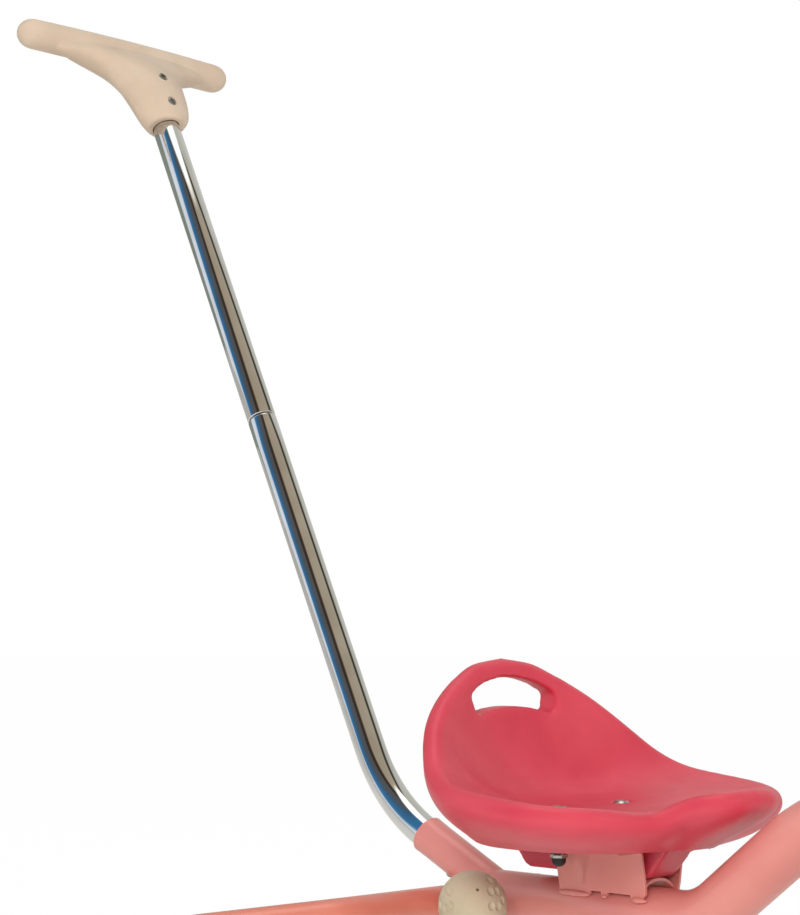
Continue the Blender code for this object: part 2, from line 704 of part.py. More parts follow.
# The rim's crest from the back's top round to the nose, and the base's edge below each point:
# crest half width, crest forward, crest height, base half width, base forward
SEAT_SIDE = [
    (0.0000, -0.1170, 0.4150, 0.0000, -0.0920),
    (0.0300, -0.1150, 0.4110, 0.0250, -0.0915),
    (0.0480, -0.1115, 0.4040, 0.0400, -0.0890),
    (0.0665, -0.1060, 0.3945, 0.0540, -0.0845),
    (0.0825, -0.0995, 0.3845, 0.0660, -0.0775),
    (0.0950, -0.0925, 0.3745, 0.0745, -0.0695),
    (0.1045, -0.0850, 0.3650, 0.0805, -0.0610),
    (0.1130, -0.0765, 0.3550, 0.0845, -0.0520),
    (0.1210, -0.0670, 0.3450, 0.0875, -0.0420),
    (0.1280, -0.0550, 0.3365, 0.0890, -0.0310),
    (0.1340, -0.0400, 0.3305, 0.0890, -0.0180),
    (0.1375, -0.0200, 0.3270, 0.0875, -0.0040),
    (0.1375, 0.0030, 0.3245, 0.0850, 0.0090),
    (0.1340, 0.0260, 0.3222, 0.0800, 0.0220),
    (0.1240, 0.0460, 0.3200, 0.0720, 0.0340),
    (0.1070, 0.0620, 0.3185, 0.0620, 0.0430),
    (0.0880, 0.0730, 0.3165, 0.0520, 0.0500),
    (0.0710, 0.0800, 0.3135, 0.0430, 0.0555),
    (0.0595, 0.0835, 0.3130, 0.0360, 0.0590),
    (0.0510, 0.0875, 0.3165, 0.0300, 0.0620),
    (0.0440, 0.0930, 0.3215, 0.0250, 0.0645),
    (0.0385, 0.1015, 0.3250, 0.0200, 0.0665),
    (0.0340, 0.1110, 0.3262, 0.0160, 0.0680),
    (0.0280, 0.1205, 0.3270, 0.0120, 0.0690),
    (0.0170, 0.1280, 0.3278, 0.0060, 0.0700),
    (0.0000, 0.1310, 0.3285, 0.0000, 0.0700),
]


def smooth_value(values, at):
    """A value between listed ones, on a smooth curve through them."""
    last = len(values) - 1
    i = min(int(at), last - 1)
    t = at - i
    before = values[i - 1] if i > 0 else values[i + 1]
    after = values[i + 2] if i + 2 <= last else values[i]
    if i == 0 and before == values[1]:
        before = 2 * values[0] - values[1]
    if i + 2 > last:
        after = 2 * values[last] - values[last - 1]
    here, there = values[i], values[i + 1]
    a = 2 * here
    b = there - before
    c = 2 * before - 5 * here + 4 * there - after
    d = 3 * here - before - 3 * there + after
    return 0.5 * (a + b * t + c * t * t + d * t * t * t)


def seat_row(share):
    """The crest's and the base's places at a share of the way from the back to the nose."""
    at = share * (len(SEAT_SIDE) - 1)
    width, forward, crest, base_width, base_forward = (
        smooth_value(column, at) for column in zip(*SEAT_SIDE)
    )
    return Vector((forward, width)), crest, Vector((base_forward, base_width))


def seat_outward(share):
    """The direction that is square to the crest, seen from above."""
    if share <= 0.0 or share >= 1.0:
        return Vector((-1.0 if share <= 0.0 else 1.0, 0.0))
    step = min(0.02, share, 1 - share)
    run = seat_row(share + step)[0] - seat_row(share - step)[0]
    return Vector((-run.y, run.x)).normalized()


def seat_ring_point(ring, share, side):
    """A point on the seat's skin: ring goes from the pan's middle over the rim to the base."""
    crest, top, base = seat_row(share)
    outward = seat_outward(share)
    centre = Vector((SEAT_FLOOR_F, 0.0))
    reach = (crest - centre).length
    back = 0.5 + 0.5 * math.cos(math.pi * min(1.0, share * 2.2))
    steep = 2.2 + 3.6 * back
    rise = top - SEAT_FLOOR_Z
    lean = math.atan(steep * rise / reach)
    kind, amount = ring
    if kind == "pan":
        lip = crest - outward * RIM_OUT * math.sin(lean)
        flat = centre.lerp(lip, amount)
        lip_z = top - RIM_DROP * (1 - math.cos(lean))
        height = SEAT_FLOOR_Z + (lip_z - SEAT_FLOOR_Z) * amount ** steep
    elif kind == "rim":
        turn = -lean + (lean + math.pi / 2) * amount
        flat = crest + outward * RIM_OUT * math.sin(turn)
        height = top - RIM_DROP * (1 - math.cos(turn))
    else:
        nose = min(1.0, max(0.0, (share - 0.66) / 0.16))
        start = crest + outward * RIM_OUT
        low = top - RIM_DROP
        drop = low - SEAT_BASE_Z
        middle = base.lerp(start, 0.45)
        heights = (low, low - (0.43 - 0.27 * nose) * drop,
                   SEAT_BASE_Z + (0.12 + 0.28 * nose) * drop, SEAT_BASE_Z)
        shares = ((1 - amount) ** 3, 3 * amount * (1 - amount) ** 2,
                  3 * amount ** 2 * (1 - amount), amount ** 3)
        flat = start * (shares[0] + shares[1]) + middle * shares[2] + base * shares[3]
        height = sum(share_of * z for share_of, z in zip(shares, heights))
    return place(flat.x, side * flat.y, height)


def seat_skin(name, finish, closed):
    """The seat's outer skin as rings of points, open at the base or closed by a flat face."""
    rings = [("pan", s) for s in (0.34, 0.60, 0.80, 0.92, 1.0)]
    rings += [("rim", 0.4), ("rim", 0.7), ("rim", 1.0)]
    rings += [("side", v) for v in (0.25, 0.5, 0.75, 1.0)]
    half = len(SEAT_SIDE) - 1
    work = bmesh.new()
    loops = []
    for ring in rings:
        right = [seat_ring_point(ring, i / half, -1) for i in range(half + 1)]
        left = [seat_ring_point(ring, i / half, 1) for i in range(half - 1, 0, -1)]
        loops.append([work.verts.new(point) for point in right + left])
    centre = work.verts.new(place(SEAT_FLOOR_F, 0.0, SEAT_FLOOR_Z))
    count = len(loops[0])
    for i in range(count):
        work.faces.new((centre, loops[0][i], loops[0][(i + 1) % count]))
    for inner, outer in zip(loops, loops[1:]):
        for i in range(count):
            j = (i + 1) % count
            work.faces.new((inner[i], outer[i], outer[j], inner[j]))
    if closed:
        work.faces.new(loops[-1])
    bmesh.ops.recalc_face_normals(work, faces=work.faces)
    if not closed:
        work.faces.ensure_lookup_table()
        if work.faces[0].normal.z < 0:
            bmesh.ops.reverse_faces(work, faces=work.faces)
    mesh = bpy.data.meshes.new(name)
    work.to_mesh(mesh)
    work.free()
    mesh.shade_smooth()
    return add_object(name, mesh, finish)


def slot_outline(grow):
    """The handle slot seen from in front: ends rounded, lower and upper edges arched."""
    points = []
    high = SLOT_HIGH_Z + grow
    low = SLOT_LOW_Z - grow
    half = SLOT_HALF + grow
    arch = 0.006
    for i in range(9):
        share = 1 - 2 * i / 8
        points.append((share * half * 0.72, high - arch * share * share))
    corner = (high - arch + low - arch) / 2
    points.append((-half, corner + 0.004))
    points.append((-half * 0.97, low - arch + 0.005))
    for i in range(9):
        share = 2 * i / 8 - 1
        points.append((share * half * 0.86, low - arch * share * share))
    points.append((half * 0.97, low - arch + 0.005))
    points.append((half, corner + 0.004))
    return points


def make_seat():
    seat = seat_skin("seat", "seat_plastic", False)
    shell = seat.modifiers.new("Wall", "SOLIDIFY")
    shell.thickness = SEAT_WALL
    shell.offset = -1.0
    shell.use_even_offset = True
    back_f = SEAT_SIDE[0][1]
    facing = along(place(back_f, 0.0, 0.0), Vector((1.0, 0.0, 0.0)), Vector((0.0, 1.0, 0.0)))
    slot_wall = flat_outline("join_slot_wall", slot_outline(SLOT_WALL), 0.080, None, facing)
    combine(slot_wall, seat_limit("join_slot_limit"), "INTERSECT")
    combine(seat, slot_wall, "UNION")
    combine(seat, boss("join_boss_left", 1), "UNION")
    combine(seat, boss("join_boss_right", -1), "UNION")
    combine(seat, keel(), "UNION")
    combine(seat, flat_outline("cut_slot", slot_outline(0.0), 0.120, None, facing))
    for side in (1, -1):
        x, y = SEAT_BOLT_F, side * SEAT_BOLT_Y
        name = side_name(side)
        head, bore = BOLT_HEAD_D / 2 + 0.001, SEAT_BOLT_D / 2 + GAP
        profile = [(0.0, SEAT_CUT_TOP_Z), (head, SEAT_CUT_TOP_Z), (head, BOLT_SEAT_Z),
                   (bore, BOLT_SEAT_Z), (bore, KEEL_Z), (0.0, KEEL_Z)]
        combine(seat, turned(f"cut_seat_bolt_{name}", profile, None,
                             along(place(x, y, 0.0), UP, Vector((1.0, 0.37, 0.0)))))


def seat_limit(name):
    """The space inside the seat's skin as far as the middle of its wall."""
    limit = seat_skin(name, None, True)
    inset = limit.modifiers.new("Inset", "DISPLACE")
    inset.strength = -SEAT_WALL / 2
    inset.mid_level = 0.0
    return limit


def boss(name, side):
    x, y = SEAT_BOLT_F, side * SEAT_BOLT_Y
    post = rod(name, place(x, y, SEAT_BASE_Z + SEAT_WALL / 2), place(x, y, SEAT_CUT_TOP_Z), BOSS_D, None)
    combine(post, seat_limit(f"{name}_limit"), "INTERSECT")
    return post


def keel():
    """The block under the pan that drops between the bracket's plates."""
    top = SEAT_FLOOR_Z - SEAT_WALL * 0.4
    front = BRACKET_FRONT_F
    outline = [
        (-0.060, top), (-0.080, SEAT_BASE_Z + 0.010), (-0.085, KEEL_Z + 0.013),
        (-0.076, KEEL_Z + 0.002), (-0.072, KEEL_Z), (front - 0.003, KEEL_Z),
        (front + 0.001, KEEL_Z + 0.003), (front + 0.016, SEAT_BASE_Z),
        (front + 0.016, SEAT_BASE_Z + 0.010), (front - 0.005, top),
    ]
    matrix = along(place(0.0, 0.0, 0.0), Vector((0.0, -1.0, 0.0)), Vector((1.0, 0.0, 0.0)))
    return flat_outline("join_keel", outline, 2 * KEEL_HALF, None, matrix)


def make_seat_bolts():
    nut_top = FLANGE_TOP_Z - PLATE_T - GAP
    for side in (1, -1):
        x, y = SEAT_BOLT_F, side * SEAT_BOLT_Y
        name = side_name(side)
        end = nut_top - NUT_T - 0.001
        length = BOLT_SEAT_Z + GAP + BOLT_HEAD_T - end
        head = length - BOLT_HEAD_T
        profile = [
            (0.0, length), (BOLT_HEAD_D * 0.33, length), (BOLT_HEAD_D / 2, head + 0.0008),
            (BOLT_HEAD_D / 2, head), (SEAT_BOLT_D / 2, head), (SEAT_BOLT_D / 2, 0.0), (0.0, 0.0),
        ]
        turned(f"{name}_seat_bolt", profile, "zinc_steel",
               along(place(x, y, end), UP), steps=16)
        bore = SEAT_BOLT_D / 2 + GAP
        bore_end = -NUT_T - NUT_BORE_OVERRUN
        bottom = -NUT_T - DOME_T
        flange, body = NUT_ACROSS * 0.62, NUT_ACROSS * 0.52
        cap = [
            (0.0, bore_end), (bore, bore_end), (bore, 0.0), (flange, 0.0),
            (flange, -NUT_FLANGE_T), (body, -NUT_FLANGE_T), (body, -NUT_T),
            (NUT_ACROSS * 0.40, bottom + 0.0012), (NUT_ACROSS * 0.2, bottom), (0.0, bottom),
        ]
        turned(f"{name}_seat_nut", cap, "black_plastic",
               along(place(x, y, nut_top), UP), steps=12)


# Wheels
def tyre(name, finish, diameter, height, width, middle, steps):
    outer = diameter / 2
    inner = outer - height
    half = width / 2
    profile = [
        (outer, half * 0.35), (outer, -half * 0.35), (outer - height * 0.18, -half * 0.78),
        (outer - height * 0.55, -half), (inner, -half * 0.80), (inner, half * 0.80),
        (outer - height * 0.55, half), (outer - height * 0.18, half * 0.78),
    ]
    turned(name, profile, finish, along(middle, Vector((0.0, 1.0, 0.0)), Vector((1.0, 0.0, 0.0))),
           closed=True, steps=steps)


def wheel_body(name, tyre_inner, width, hub_d, hub_length, bore, middle, steps):
    """A moulded wheel: rim, hub and flat spokes left between cut windows."""
    rim = tyre_inner - GAP
    well = rim - RIM_T
    half, web, hub = width / 2 * 0.86, WEB_T / 2, hub_length / 2
    profile = [
        (rim, half), (rim, -half), (well, -half), (well - 0.002, -web), (hub_d / 2 + 0.003, -web),
        (hub_d / 2, -hub), (bore / 2, -hub), (bore / 2, hub), (hub_d / 2, hub),
        (hub_d / 2 + 0.003, web), (well - 0.002, web), (well, half),
    ]
    matrix = along(middle, Vector((0.0, 1.0, 0.0)), Vector((1.0, 0.0, 0.0)))
    body = turned(name, profile, "cream_plastic", matrix, closed=True, steps=steps)
    low, high = hub_d / 2 + WINDOW_MARGIN, well - WINDOW_MARGIN
    for number in range(SPOKES):
        outline = []
        for radius, order in ((low, 1), (high, -1)):
            edge = math.degrees(math.asin(SPOKE_W / 2 / radius))
            first, last = edge, 360 / SPOKES - edge
            for i in range(WINDOW_STEPS):
                share = i / (WINDOW_STEPS - 1)
                share = share if order > 0 else 1 - share
                angle = math.radians(90 + number * 360 / SPOKES + first + (last - first) * share)
                outline.append((radius * math.cos(angle), radius * math.sin(angle)))
        outline = rounded(outline, 0.005)
        combine(body, flat_outline(f"cut_{name}_{number}", outline, width * 2, None, matrix))
    return body


def rounded(outline, radius):
    """The outline with its four sharp corners cut back by a short round."""
    count = len(outline)
    half = count // 2
    corners = {0, half - 1, half, count - 1}
    result = []
    for i, (x, y) in enumerate(outline):
        here = Vector((x, y))
        if i not in corners:
            result.append((x, y))
            continue
        before = Vector(outline[i - 1]) - here
        after = Vector(outline[(i + 1) % count]) - here
        start = here + before.normalized() * min(radius, before.length * 0.6)
        end = here + after.normalized() * min(radius, after.length * 0.6)
        middle = (start + end) / 2 * 0.45 + here * 0.55
        result += [tuple(start), tuple(middle), tuple(end)]
    return result


def wheel_bush(name, face, outward, shaft_d, depth, finish="white_nylon"):
    """A flanged plain bearing pressed into a hub's face."""
    bore = shaft_d / 2 + RUNNING
    outer = bore + WHEEL_BUSH_WALL
    lip = WHEEL_BUSH_LIP_D / 2
    profile = [
        (lip, WHEEL_BUSH_LIP), (lip, GAP), (outer, GAP), (outer, -depth), (bore, -depth),
        (bore, WHEEL_BUSH_LIP),
    ]
    turned(name, profile, finish, along(face, outward), closed=True)


HUB_BORE_REAR = REAR_AXLE_D + 2 * RUNNING + 2 * WHEEL_BUSH_WALL + 2 * GAP
REAR_HUB_IN = LEG_Y + ARCH_D / 2 + WASHER_T + 2 * GAP + WHEEL_BUSH_LIP + GAP
REAR_WHEEL_Y = REAR_HUB_IN + REAR_HUB_LENGTH / 2
REAR_HUB_OUT = REAR_WHEEL_Y + REAR_HUB_LENGTH / 2
AXLE_END = REAR_HUB_OUT + WHEEL_BUSH_LIP + WASHER_T + 3 * GAP + HUB_CAP_T * 0.6


def make_rear_wheels():
    z = REAR_WHEEL_D / 2
    f = REAR_AXLE_F
    rod("rear_axle", place(f, -AXLE_END, z), place(f, AXLE_END, z), REAR_AXLE_D, "zinc_steel",
        chamfer=0.001)
    for side in (1, -1):
        name = side_name(side)
        out = Vector((0.0, float(side), 0.0))
        middle = place(f, side * REAR_WHEEL_Y, z)
        tyre(f"{name}_rear_tyre", "tyre_rubber", REAR_WHEEL_D, REAR_TYRE_H, REAR_TYRE_W, middle, 32)
        wheel_body(f"{name}_rear_wheel", REAR_WHEEL_D / 2 - REAR_TYRE_H, REAR_TYRE_W, REAR_HUB_D,
                   REAR_HUB_LENGTH, HUB_BORE_REAR, middle, 32)
        for face, direction, end in (
            (REAR_HUB_IN, -out, "inner"),
            (REAR_HUB_OUT, out, "outer"),
        ):
            wheel_bush(f"{name}_wheel_{end}_bush", place(f, side * face, z), direction,
                       REAR_AXLE_D, WHEEL_BUSH_DEPTH)
        inner_washer = LEG_Y + ARCH_D / 2 + GAP
        pipe(f"{name}_inner_washer", place(f, side * inner_washer, z),
             place(f, side * (inner_washer + WASHER_T), z), WASHER_D, REAR_AXLE_D + 2 * GAP,
             "zinc_steel")
        cap_from = REAR_HUB_OUT + WHEEL_BUSH_LIP + GAP
        bore = REAR_AXLE_D / 2 + GAP
        depth = AXLE_END + GAP - cap_from
        top = HUB_CAP_T + WASHER_T
        profile = [
            (0.0, top), (HUB_CAP_D * 0.30, top - 0.0006), (HUB_CAP_D * 0.44, top * 0.70),
            (HUB_CAP_D / 2, top * 0.30), (HUB_CAP_D / 2, 0.0), (bore, 0.0), (bore, depth),
            (0.0, depth),
        ]
        turned(f"{name}_hub_cap", profile, "pink_paint", along(place(f, side * cap_from, z), out))


# Steering, fork and front wheel
BUSH_BOTTOM = -HEAD_LENGTH / 2 - BUSH_FLANGE_T - GAP
BUSH_TOP = HEAD_LENGTH / 2 + BUSH_FLANGE_T + GAP
CROWN_UP = BUSH_BOTTOM - CROWN_DROP
FRONT_AXLE_Z = FRONT_WHEEL_D / 2
AXIS_DOWN_TO_AXLE = (HEAD_Z - FRONT_AXLE_Z) / math.tan(math.radians(HEAD_ANGLE))
FRONT_AXLE_F = HEAD_F + AXIS_DOWN_TO_AXLE + FORK_OFFSET
CLAMP_UP = BUSH_TOP + GAP


def make_fork():
    crown = on_steering_axis(CROWN_UP)
    half = Vector((0.0, FORK_HALF_WIDTH, 0.0))
    axle = place(FRONT_AXLE_F, 0.0, FRONT_AXLE_Z)
    down = (axle - crown).normalized()
    end = axle - down * (EYE_D / 2 + GAP)
    corners = [end - half, crown - half, crown + half, end + half]
    path = bent_path(corners, [FORK_BEND_R, FORK_BEND_R], 15.0)
    bent_tube("fork_blades", path, FORK_D, FORK_WALL, "pink_paint", 12)
    steerer = pipe("steerer", crown - STEER_UP * (FORK_D / 2 + 0.003),
                   on_steering_axis(CLAMP_UP + CLAMP_T), STEERER_D,
                   STEERER_D - 2 * STEERER_WALL, "pink_paint")
    combine(steerer, rod("cut_crown", crown - half, crown + half, FORK_D + 2 * GAP, None))
    for side in (1, -1):
        name = side_name(side)
        out = Vector((0.0, float(side), 0.0))
        inside = FORK_HALF_WIDTH - EYE_LENGTH / 2
        eye_bore = CRANK_D + 2 * RUNNING + 2 * EYE_BUSH_WALL + 2 * GAP
        pipe(f"{name}_fork_eye", axle + out * inside, axle + out * (inside + EYE_LENGTH), EYE_D,
             eye_bore, "pink_paint")
        pipe(f"{name}_crank_bush", axle + out * (inside + GAP),
             axle + out * (inside + EYE_LENGTH - GAP), eye_bore - 2 * GAP,
             CRANK_D + 2 * RUNNING, "white_nylon")
    for name, up, sign in (("lower_head_bush", -HEAD_LENGTH / 2, -1),
                           ("upper_head_bush", HEAD_LENGTH / 2, 1)):
        outer = (HEAD_D - 2 * HEAD_WALL) / 2 - GAP
        bore = STEERER_D / 2 + RUNNING
        flange = BUSH_FLANGE_D / 2
        profile = [
            (flange, BUSH_FLANGE_T + GAP), (flange, GAP), (outer, GAP), (outer, -BUSH_DEPTH),
            (bore, -BUSH_DEPTH), (bore, BUSH_FLANGE_T + GAP),
        ]
        turned(name, profile, "black_plastic", along(on_steering_axis(up), STEER_UP * sign),
               closed=True)


def make_front_wheel():
    axle = place(FRONT_AXLE_F, 0.0, FRONT_AXLE_Z)
    tyre("front_tyre", "tyre_rubber", FRONT_WHEEL_D, FRONT_TYRE_H, FRONT_TYRE_W, axle, 36)
    wheel_body("front_wheel", FRONT_WHEEL_D / 2 - FRONT_TYRE_H, FRONT_TYRE_W, FRONT_HUB_D,
               FRONT_HUB_LENGTH, CRANK_D + 2 * GAP, axle, 36)
    pedal_from = CRANK_ARM_Y + CRANK_BEND_R + 2 * GAP
    pin_end = pedal_from + PEDAL_LENGTH + PEDAL_CAP_T * 0.7
    arm = Vector((CRANK_THROW, 0.0, 0.0))
    corners = [
        axle + arm + Vector((0.0, -pin_end, 0.0)),
        axle + arm + Vector((0.0, -CRANK_ARM_Y, 0.0)),
        axle + Vector((0.0, -CRANK_ARM_Y, 0.0)),
        axle + Vector((0.0, CRANK_ARM_Y, 0.0)),
        axle - arm + Vector((0.0, CRANK_ARM_Y, 0.0)),
        axle - arm + Vector((0.0, pin_end, 0.0)),
    ]
    bent_rod("crank", bent_path(corners, [CRANK_BEND_R] * 4, 22.0), CRANK_D, "zinc_steel", 12)
    for side in (1, -1):
        name = side_name(side)
        out = Vector((0.0, float(side), 0.0))
        pin = axle - arm * side
        middle = pin + out * (pedal_from + PEDAL_LENGTH / 2)
        make_pedal(f"{name}_pedal", middle)
        cap_from = pedal_from + PEDAL_LENGTH + GAP
        bore = CRANK_D / 2 + GAP
        depth = pin_end - cap_from + GAP
        profile = [
            (0.0, PEDAL_CAP_T), (PEDAL_CAP_D * 0.40, PEDAL_CAP_T), (PEDAL_CAP_D / 2, PEDAL_CAP_T * 0.6),
            (PEDAL_CAP_D / 2, 0.0), (bore, 0.0), (bore, depth), (0.0, depth),
        ]
        turned(f"{name}_pedal_cap", profile, "pink_paint", along(pin + out * cap_from, out),
               steps=20)


def make_pedal(name, middle):
    work = bmesh.new()
    bmesh.ops.create_cube(work, size=1.0)
    bmesh.ops.scale(work, vec=(PEDAL_WIDTH, PEDAL_LENGTH, PEDAL_HEIGHT), verts=work.verts)
    mesh = bpy.data.meshes.new(name)
    work.to_mesh(mesh)
    work.free()
    pedal = add_object(name, mesh, "cream_plastic", Matrix.Translation(middle))
    edge = pedal.modifiers.new("Edges", "BEVEL")
    edge.width = PEDAL_HEIGHT * 0.25
    edge.segments = 2
    for number, share in enumerate((-0.30, 0.30), 1):
        groove = bmesh.new()
        bmesh.ops.create_cube(groove, size=1.0)
        bmesh.ops.scale(groove, vec=(PEDAL_WIDTH * 0.22, PEDAL_LENGTH * 0.78, PEDAL_HEIGHT * 2),
                        verts=groove.verts)
        slot_mesh = bpy.data.meshes.new(f"cut_{name}_{number}")
        groove.to_mesh(slot_mesh)
        groove.free()
        slot = add_object(f"cut_{name}_{number}", slot_mesh, None,
                          Matrix.Translation(middle + Vector((share * PEDAL_WIDTH, 0.0, 0.0))))
        combine(pedal, slot)
    reach = Vector((0.0, PEDAL_LENGTH, 0.0))
    combine(pedal, rod(f"cut_{name}_bore", middle - reach, middle + reach, CRANK_D + 2 * RUNNING,
                       None))


# Handlebar
BAR_MIDDLE = HEAD_MIDDLE + STEER_UP * ((BAR_Z - HEAD_Z) / STEER_UP.z)


def bar_half_points(side):
    """The bar's corners from the middle out to one end."""
    inner = BAR_MIDDLE + Vector((0.0, side * BAR_CENTRE_HALF, 0.0))
    knee = BAR_MIDDLE + Vector((0.0, side * (BAR_CENTRE_HALF + BAR_RISE * 1.6), BAR_RISE))
    end = Vector((knee.x - BAR_SWEEP, BAR_MIDDLE.y + side * BAR_HALF, knee.z))
    return inner, knee, end


def make_handlebar():
    right_inner, right_knee, right_end = bar_half_points(-1)
    left_inner, left_knee, left_end = bar_half_points(1)
    corners = [right_end, right_knee, right_inner, left_inner, left_knee, left_end]
    path = bent_path(corners, [BAR_BEND_R] * 4, 18.0)
    bar = bent_rod("handlebar", path, BAR_D, "chrome", 14)
    column = rod("join_column", on_steering_axis(CLAMP_UP + CLAMP_T - COLUMN_INSERT), BAR_MIDDLE,
                 BAR_D, None)
    combine(bar, column, "UNION")

    clamp = pipe("stem_clamp", on_steering_axis(CLAMP_UP), on_steering_axis(CLAMP_UP + CLAMP_T),
                 CLAMP_D, STEERER_D + 2 * GAP, "chrome")
    front = STEER_UP.cross(Vector((0.0, -1.0, 0.0)))
    middle = on_steering_axis(CLAMP_UP + CLAMP_T / 2)
    slit = flat_outline("cut_clamp_slit",
                        [(0.0, -CLAMP_T), (CLAMP_D, -CLAMP_T), (CLAMP_D, CLAMP_T), (0.0, CLAMP_T)],
                        CLAMP_SLIT, None, along(middle, Vector((0.0, 1.0, 0.0)), front))
    combine(clamp, slit)
    bolt_at = middle + front * (CLAMP_D / 2 + STEERER_D / 2) / 2
    reach = Vector((0.0, CLAMP_D * 0.42, 0.0))
    combine(clamp, rod("cut_clamp_bolt", bolt_at - reach * 2, bolt_at + reach * 2,
                       CLAMP_BOLT_D * 0.6 + 2 * GAP, None, steps=16))
    rod("clamp_bolt", bolt_at - reach, bolt_at + reach, CLAMP_BOLT_D * 0.6, "zinc_steel", steps=16)

    for side in (1, -1):
        inner, knee, end = bar_half_points(side)
        axis = (end - knee).normalized()
        start = end - axis * (HAND_GRIP_LENGTH - HAND_GRIP_END_T - GAP)
        flange, radius, bore = HAND_GRIP_FLANGE_D / 2, HAND_GRIP_D / 2, BAR_D / 2 + GAP
        inside = HAND_GRIP_LENGTH - HAND_GRIP_END_T
        profile = [
            (0.0, HAND_GRIP_LENGTH), (radius * 0.80, HAND_GRIP_LENGTH),
            (radius * 1.04, HAND_GRIP_LENGTH - 0.004), (radius * 1.04, HAND_GRIP_LENGTH - 0.012),
            (radius * 0.94, HAND_GRIP_LENGTH - 0.022), (radius * 0.94, 0.014), (radius, 0.006),
            (flange, 0.004), (flange, 0.0), (bore, 0.0), (bore, inside), (0.0, inside),
        ]
        turned(f"{side_name(side)}_hand_grip", profile, "cream_plastic", along(start, axis))


# Parking brake
ARM_ON_ANGLE = math.degrees(math.atan2(REAR_CENTRE_Z - BRAKE_Z, REAR_AXLE_F - BRAKE_F))


def make_brake():
    arm = turn_in_side_view(ARM_ON_ANGLE + BRAKE_ARM_REST)
    corners = []
    for side in (-1, 1):
        corner = place(BRAKE_F, side * REAR_WHEEL_Y, BRAKE_Z)
        tip = corner + arm * (BRAKE_ARM - BOOT_END_T - GAP)
        corners += [tip, corner] if side < 0 else [corner, tip]
    bent_rod("brake_rod", bent_path(corners, [BRAKE_BEND_R] * 2, 18.0), BRAKE_ROD_D,
             "zinc_steel", 12)
    for side in (1, -1):
        corner = place(BRAKE_F, side * REAR_WHEEL_Y, BRAKE_Z)
        start = corner + arm * (BRAKE_ARM - BOOT_LENGTH)
        radius, bore, inside = BOOT_D / 2, BRAKE_ROD_D / 2 + GAP, BOOT_LENGTH - BOOT_END_T
        profile = [
            (0.0, BOOT_LENGTH), (radius - 0.002, BOOT_LENGTH), (radius, BOOT_LENGTH - 0.002),
            (radius, 0.002), (radius - 0.002, 0.0), (bore, 0.0), (bore, inside), (0.0, inside),
        ]
        turned(f"{side_name(side)}_brake_boot", profile, "black_plastic", along(start, arm),
               steps=20)
        brake_clip(side)

    knob = place(KNOB_F, KNOB_Y, KNOB_Z)
    hinge = place(BRAKE_F, KNOB_Y, BRAKE_Z)
    foot = hinge + Vector((BRAKE_ROD_D / 2 + GAP, 0.0, 0.0))
    below = Vector((knob.x - 0.006, knob.y, hinge.z + 0.001))
    up = (knob - below).normalized()
    tip = knob - up * (KNOB_D / 2 - LEVER_INSERT)
    lever = bent_rod("brake_lever", bent_path([foot, below, tip], [LEVER_BEND_R], 12.0), LEVER_D,
                     "zinc_steel", 14)
    combine(lever, across_tricycle("cut_lever_foot", BRAKE_F, BRAKE_Z, REAR_WHEEL_Y,
                                   BRAKE_ROD_D + 2 * GAP))
    ball = [(0.0, KNOB_D / 2)]
    turns = 10
    for i in range(1, turns):
        angle = math.pi * i / turns
        ball.append((KNOB_D / 2 * math.sin(angle), KNOB_D / 2 * math.cos(angle)))
    ball.append((0.0, -KNOB_D / 2))
    knob_ball = turned("brake_knob", ball, "cream_plastic", along(knob, up), steps=20)
    combine(knob_ball, rod("cut_knob", knob - up * KNOB_D, tip + up * GAP, LEVER_D + 2 * GAP, None,
                           steps=20))


def brake_clip(side):
    """A strap under the arch that carries the brake rod."""
    drop = ARCH_Z - BRAKE_Z
    half = BRAKE_ROD_D / 2 + BRAKE_CLIP_T + RUNNING
    outline = []
    for i in range(13):
        angle = math.radians(180 + 180 * i / 12)
        outline.append((half * math.cos(angle), -drop + half * math.sin(angle)))
    outline += [(half, 0.0), (-half, 0.0)]
    name = side_name(side)
    matrix = along(place(BRAKE_F, side * BRAKE_CLIP_Y, ARCH_Z), Vector((0.0, -1.0, 0.0)),
                   Vector((1.0, 0.0, 0.0)))
    clip = flat_outline(f"{name}_brake_clip", outline, BRAKE_CLIP_W, "pink_paint", matrix)
    combine(clip, across_tricycle(f"cut_{name}_clip_rod", BRAKE_F, BRAKE_Z, REAR_WHEEL_Y,
                                  BRAKE_ROD_D + 2 * RUNNING))
    combine(clip, across_tricycle(f"cut_{name}_clip_arch", ARCH_F, ARCH_Z, REAR_WHEEL_Y,
                                  ARCH_D + 2 * GAP))


make_frame()
make_push_handle()
make_t_grip()
make_bracket()
make_seat()
make_seat_bolts()
make_rear_wheels()
make_fork()
make_front_wheel()
make_handlebar()
make_brake()

print("front axle", FRONT_AXLE_F + MIDDLE, "rear wheel y", REAR_WHEEL_Y, "brake", BRAKE_Z)
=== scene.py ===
# %% [markdown]
# # A child's tricycle in pink powder coat
#
# This lesson dresses a finished CAD model of a tricycle. The CAD model gives every piece its
# place, its size and the way it moves. Here each piece gets the soft edges, welds, dimples and
# surface finish of the real one. Everything is in metres: +X is forward, +Y is the rider's left.

# %% Load the CAD model as a fixed frame
import math

import bmesh
import bpy
from mathutils import Matrix, Vector, noise


